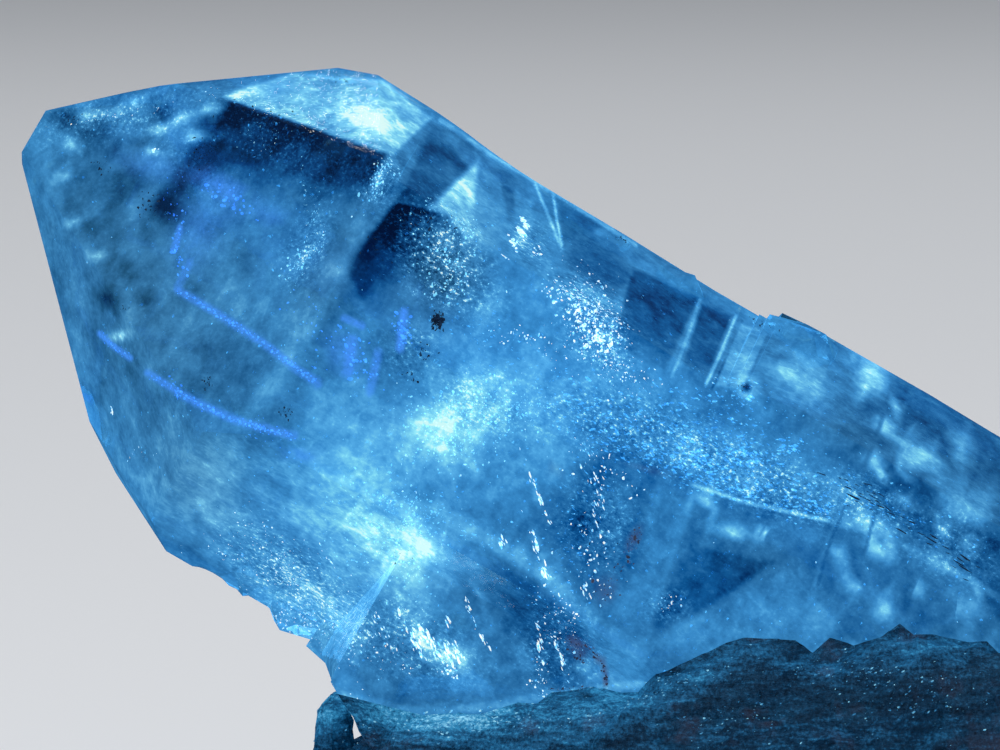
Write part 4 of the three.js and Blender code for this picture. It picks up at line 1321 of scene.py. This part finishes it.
# %% Droplets of the healed crack
spots = along_paths(
    random.Random(21), (0.35, 1.3),
    (560, 13, 0.3, 1.6, 556, 398, 600, 412, 645, 425, 700, 440, 760, 462),
    (640, 8, 0.3, 1.6, 600, 440, 660, 455, 700, 478, 760, 494, 830, 512),
    (420, 10, 0.3, 1.3, 690, 470, 760, 478, 830, 496, 900, 522),
    (200, 5, 0.4, 1.9, 680, 455, 720, 462, 770, 458, 800, 445),
    (160, 12, 0.3, 1.4, 640, 402, 700, 400, 740, 410),
    (60, 8, 0.3, 1.3, 735, 380, 742, 395, 750, 430, 748, 445),
    (120, 18, 0.2, 0.9, 700, 430, 800, 440, 870, 470),
    (110, 18, 0.2, 0.9, 880, 500, 940, 530, 990, 570),
    (110, 16, 0.3, 1.1, 596, 470, 560, 540, 560, 600),
    (140, 12, 0.3, 0.9, 420, 500, 500, 545, 560, 590),
    (120, 20, 0.3, 1, 470, 330, 520, 360, 560, 400),
)
grow_flakes("healed_crack", spots, glowing_droplet, Size=0.019, Width=2.6, Depth=0.5, Length=0.8,
            Tumble=0.55, Lean=(0.0, math.radians(18), 0.0), Crumple=0.03, Seed=7)

# %% [markdown]
# ## Glowing oil
# The oil in these crystals fluoresces. It shows as thin trails of drops along healed cracks and
# as deep blue spots.

# %% Oil trails and spots
spots = along_paths(
    random.Random(31), (0.15, 0.5),
    (120, 1.6, 0.7, 1.7, 176, 290, 215, 312, 262, 342, 316, 382),
    (120, 1.6, 0.7, 1.8, 150, 375, 195, 402, 235, 420, 292, 436),
    (26, 2.4, 0.7, 1.7, 102, 335, 112, 345, 128, 357),
    (34, 3, 0.7, 2, 178, 232, 176, 250, 184, 275),
    (46, 7, 0.7, 2.4, 205, 190, 235, 200, 245, 215),
    (30, 8, 0.5, 1.6, 170, 180, 180, 225),
    (40, 5, 0.8, 2.4, 400, 318, 408, 345),
    (46, 9, 0.7, 2.2, 345, 335, 372, 380),
    (40, 14, 0.5, 1.6, 300, 300, 330, 360),
    (24, 9, 0.5, 1.4, 255, 425, 310, 450),
)
grow_flakes("oil_trails", spots, oil, Size=0.020, Width=1.3, Depth=0.7, Length=0.9, Tumble=0.6,
            Lean=(0.0, math.radians(30), 0.0), Crumple=0.02, Seed=9)

# %% [markdown]
# ## Dark bubbles and stains
# Gas bubbles and specks of tar look almost black. Thin dark cracks cross the right end, and a
# little rust stains the cracks near the foot.

# %% Tar and bubbles
ON_SKIN = (0.0, 0.01)  # depth in mm: half in the haze, half out of it, so they look dark

spots = in_blobs(
    random.Random(41), ON_SKIN, (437, 321, 5, 8, 0, 90, 1.2, 2.8),
    (425, 352, 10, 12, 60, 26, 0.5, 1.8), (410, 375, 14, 8, 60, 18, 0.5, 1.4),
    (286, 412, 8, 6, 0, 30, 0.6, 1.6), (207, 380, 7, 8, 0, 26, 0.5, 1.5),
    (125, 308, 7, 2, 0, 12, 0.5, 1.2), (76, 118, 14, 3, -20, 26, 0.5, 1.4),
    (105, 165, 16, 12, 30, 30, 0.4, 1.2), (150, 205, 12, 14, 0, 40, 0.5, 1.8),
    (205, 150, 26, 12, 120, 46, 0.4, 1.5), (290, 130, 70, 12, 20, 70, 0.4, 1.6),
    (420, 222, 34, 10, 15, 60, 0.5, 1.8), (375, 250, 20, 14, 60, 30, 0.5, 1.6),
    (340, 82, 14, 5, 10, 14, 0.4, 1.4), (622, 240, 6, 3, 20, 14, 0.6, 1.6),
    (765, 325, 16, 4, 20, 22, 0.4, 1.4), (741, 388, 5, 4, 0, 10, 0.6, 1.4),
    (400, 555, 30, 20, 0, 12, 0.4, 1), (600, 550, 40, 30, 70, 26, 0.4, 1.2),
    (740, 470, 90, 20, 20, 40, 0.3, 1),
)
grow_flakes("tar_specks", spots, tar, Size=0.024, Width=1.3, Depth=0.3, Length=0.9, Crumple=0.03,
            Seed=13)

# %% Dark cracks of the right end
spots = in_blobs(
    random.Random(42), ON_SKIN,
    (862, 496, 34, 12, 24, 26, 0.7, 1.5), (850, 482, 20, 6, 24, 10, 0.6, 1.2),
    (905, 520, 50, 10, 32, 20, 0.6, 1.4), (950, 555, 40, 10, 36, 12, 0.5, 1.2),
    (790, 480, 40, 14, 24, 10, 0.4, 0.9),
)
grow_flakes("dark_cracks", spots, tar, Size=0.015, Width=10.0, Depth=0.7, Length=0.8, Tumble=0.15,
            Lean=(0.0, math.radians(28), 0.0), Crumple=0.03, Seed=15)

# %% Rust stains
spots = along_paths(
    random.Random(43), ON_SKIN,
    (60, 1.8, 0.5, 1.4, 566, 640, 588, 646, 603, 664, 606, 684),
    (20, 4, 0.5, 1.6, 572, 648, 584, 664),
    (26, 3, 0.6, 1.5, 628, 548, 640, 532),
    (20, 4, 0.5, 1.3, 612, 575, 630, 560),
    (22, 6, 0.4, 1.4, 598, 590, 610, 600),
    (22, 2, 0.4, 1.1, 548, 690, 590, 688),
)
grow_flakes("rust_stains", spots, rust, Size=0.026, Width=1.5, Depth=0.3, Length=1.2, Tumble=0.7,
            Lean=(0.0, math.radians(-30), 0.0), Crumple=0.05, Seed=17)

# %% [markdown]
# ## Glints on the foot
# The broken foot has small clean faces that catch the light. Their glints are painted, as small
# glowing flakes. They lie on every side of it, and lie thicker along its front, where the layers
# end.

# %% Foot glints
SCATTERED_GLINTS, GLINT_SIZES = 900, (0.3, 1.5)
UNDER_FOOT = -0.9  # a face that looks down more than this is the flat underside

dice = random.Random(61)
spots = in_blobs(
    dice, ON_SKIN,
    (470, 722, 110, 14, -2, 340, 0.3, 1.9), (660, 688, 80, 14, -22, 150, 0.3, 1.5),
    (720, 720, 90, 20, -10, 120, 0.3, 1.3), (850, 672, 90, 14, 0, 150, 0.3, 1.5),
    (930, 700, 90, 26, -8, 170, 0.3, 1.4),
)
foot_parts = [part for part in crystal_mesh.polygons if part.material_index == FOOT_SLOT]
foot_parts = [part for part in foot_parts if part.normal.z > UNDER_FOOT]
for part in dice.sample(foot_parts, SCATTERED_GLINTS):
    spots.append((part.center.copy(), uneven(dice, *GLINT_SIZES)))
grow_flakes("foot_glints", spots, foot_glint, Size=0.022, Width=1.7, Depth=0.4, Length=0.7,
            Tumble=0.5, Lean=(0.0, math.radians(-14), 0.0), Crumple=0.02, Seed=27)

# %% [markdown]
# ## Clouds
# Two clouds of drops too fine to tell apart glow in the middle of the crystal. Their painted haze
# glow is on the skin already. These grains stand inside it, so the clouds have depth from every
# side.

# %% Cloud grains
spots = in_blobs(
    random.Random(51), (0.2, 2.6),
    (460, 425, 76, 50, 0, 420, 0.4, 1.3), (438, 442, 34, 22, 60, 120, 0.4, 1.3),
    (480, 405, 44, 22, -20, 120, 0.4, 1.3), (385, 540, 60, 46, 30, 380, 0.4, 1.3),
    (400, 552, 34, 26, 40, 140, 0.4, 1.3), (520, 410, 44, 12, -8, 110, 0.4, 1.3),
)
grow_flakes("cloud_grains", spots, cloud_light, Size=0.017, Width=1.6, Depth=0.7, Length=1.0,
            Crumple=0.02, Seed=19)

# %% Drifting dust through the whole crystal, glowing with painted light
DUST_COUNT, DUST_SIZES = 2000, (0.3, 1.3)
SKIN_GAP = 0.25 * MM
FOOT_TOP = 3.0 * MM
STRAIGHT_UP = Vector((0, 0, 1))
PAST_WALL = STRAIGHT_UP * 1e-7


def inside_crystal(point):
    """True for a place inside the skin and clear of it."""
    if skin_tree.find_nearest(point)[3] < SKIN_GAP:
        return False
    start, walls = point, 0
    while True:
        hit = skin_tree.ray_cast(start, STRAIGHT_UP)[0]
        if hit is None:
            return walls % 2 == 1
        start, walls = hit + PAST_WALL, walls + 1


dice = random.Random(52)
low, high = cad_box
spots = []
while len(spots) < DUST_COUNT:
    place = Vector(dice.uniform(low[axis], high[axis]) for axis in range(3))
    if inside_crystal(place) and place.z > FOOT_TOP:
        spots.append((place, dice.uniform(*DUST_SIZES)))
grow_flakes("drifting_dust", spots, glowing_droplet, Size=0.018, Width=1.6, Depth=0.6, Length=1.0,
            Crumple=0.02, Seed=23)
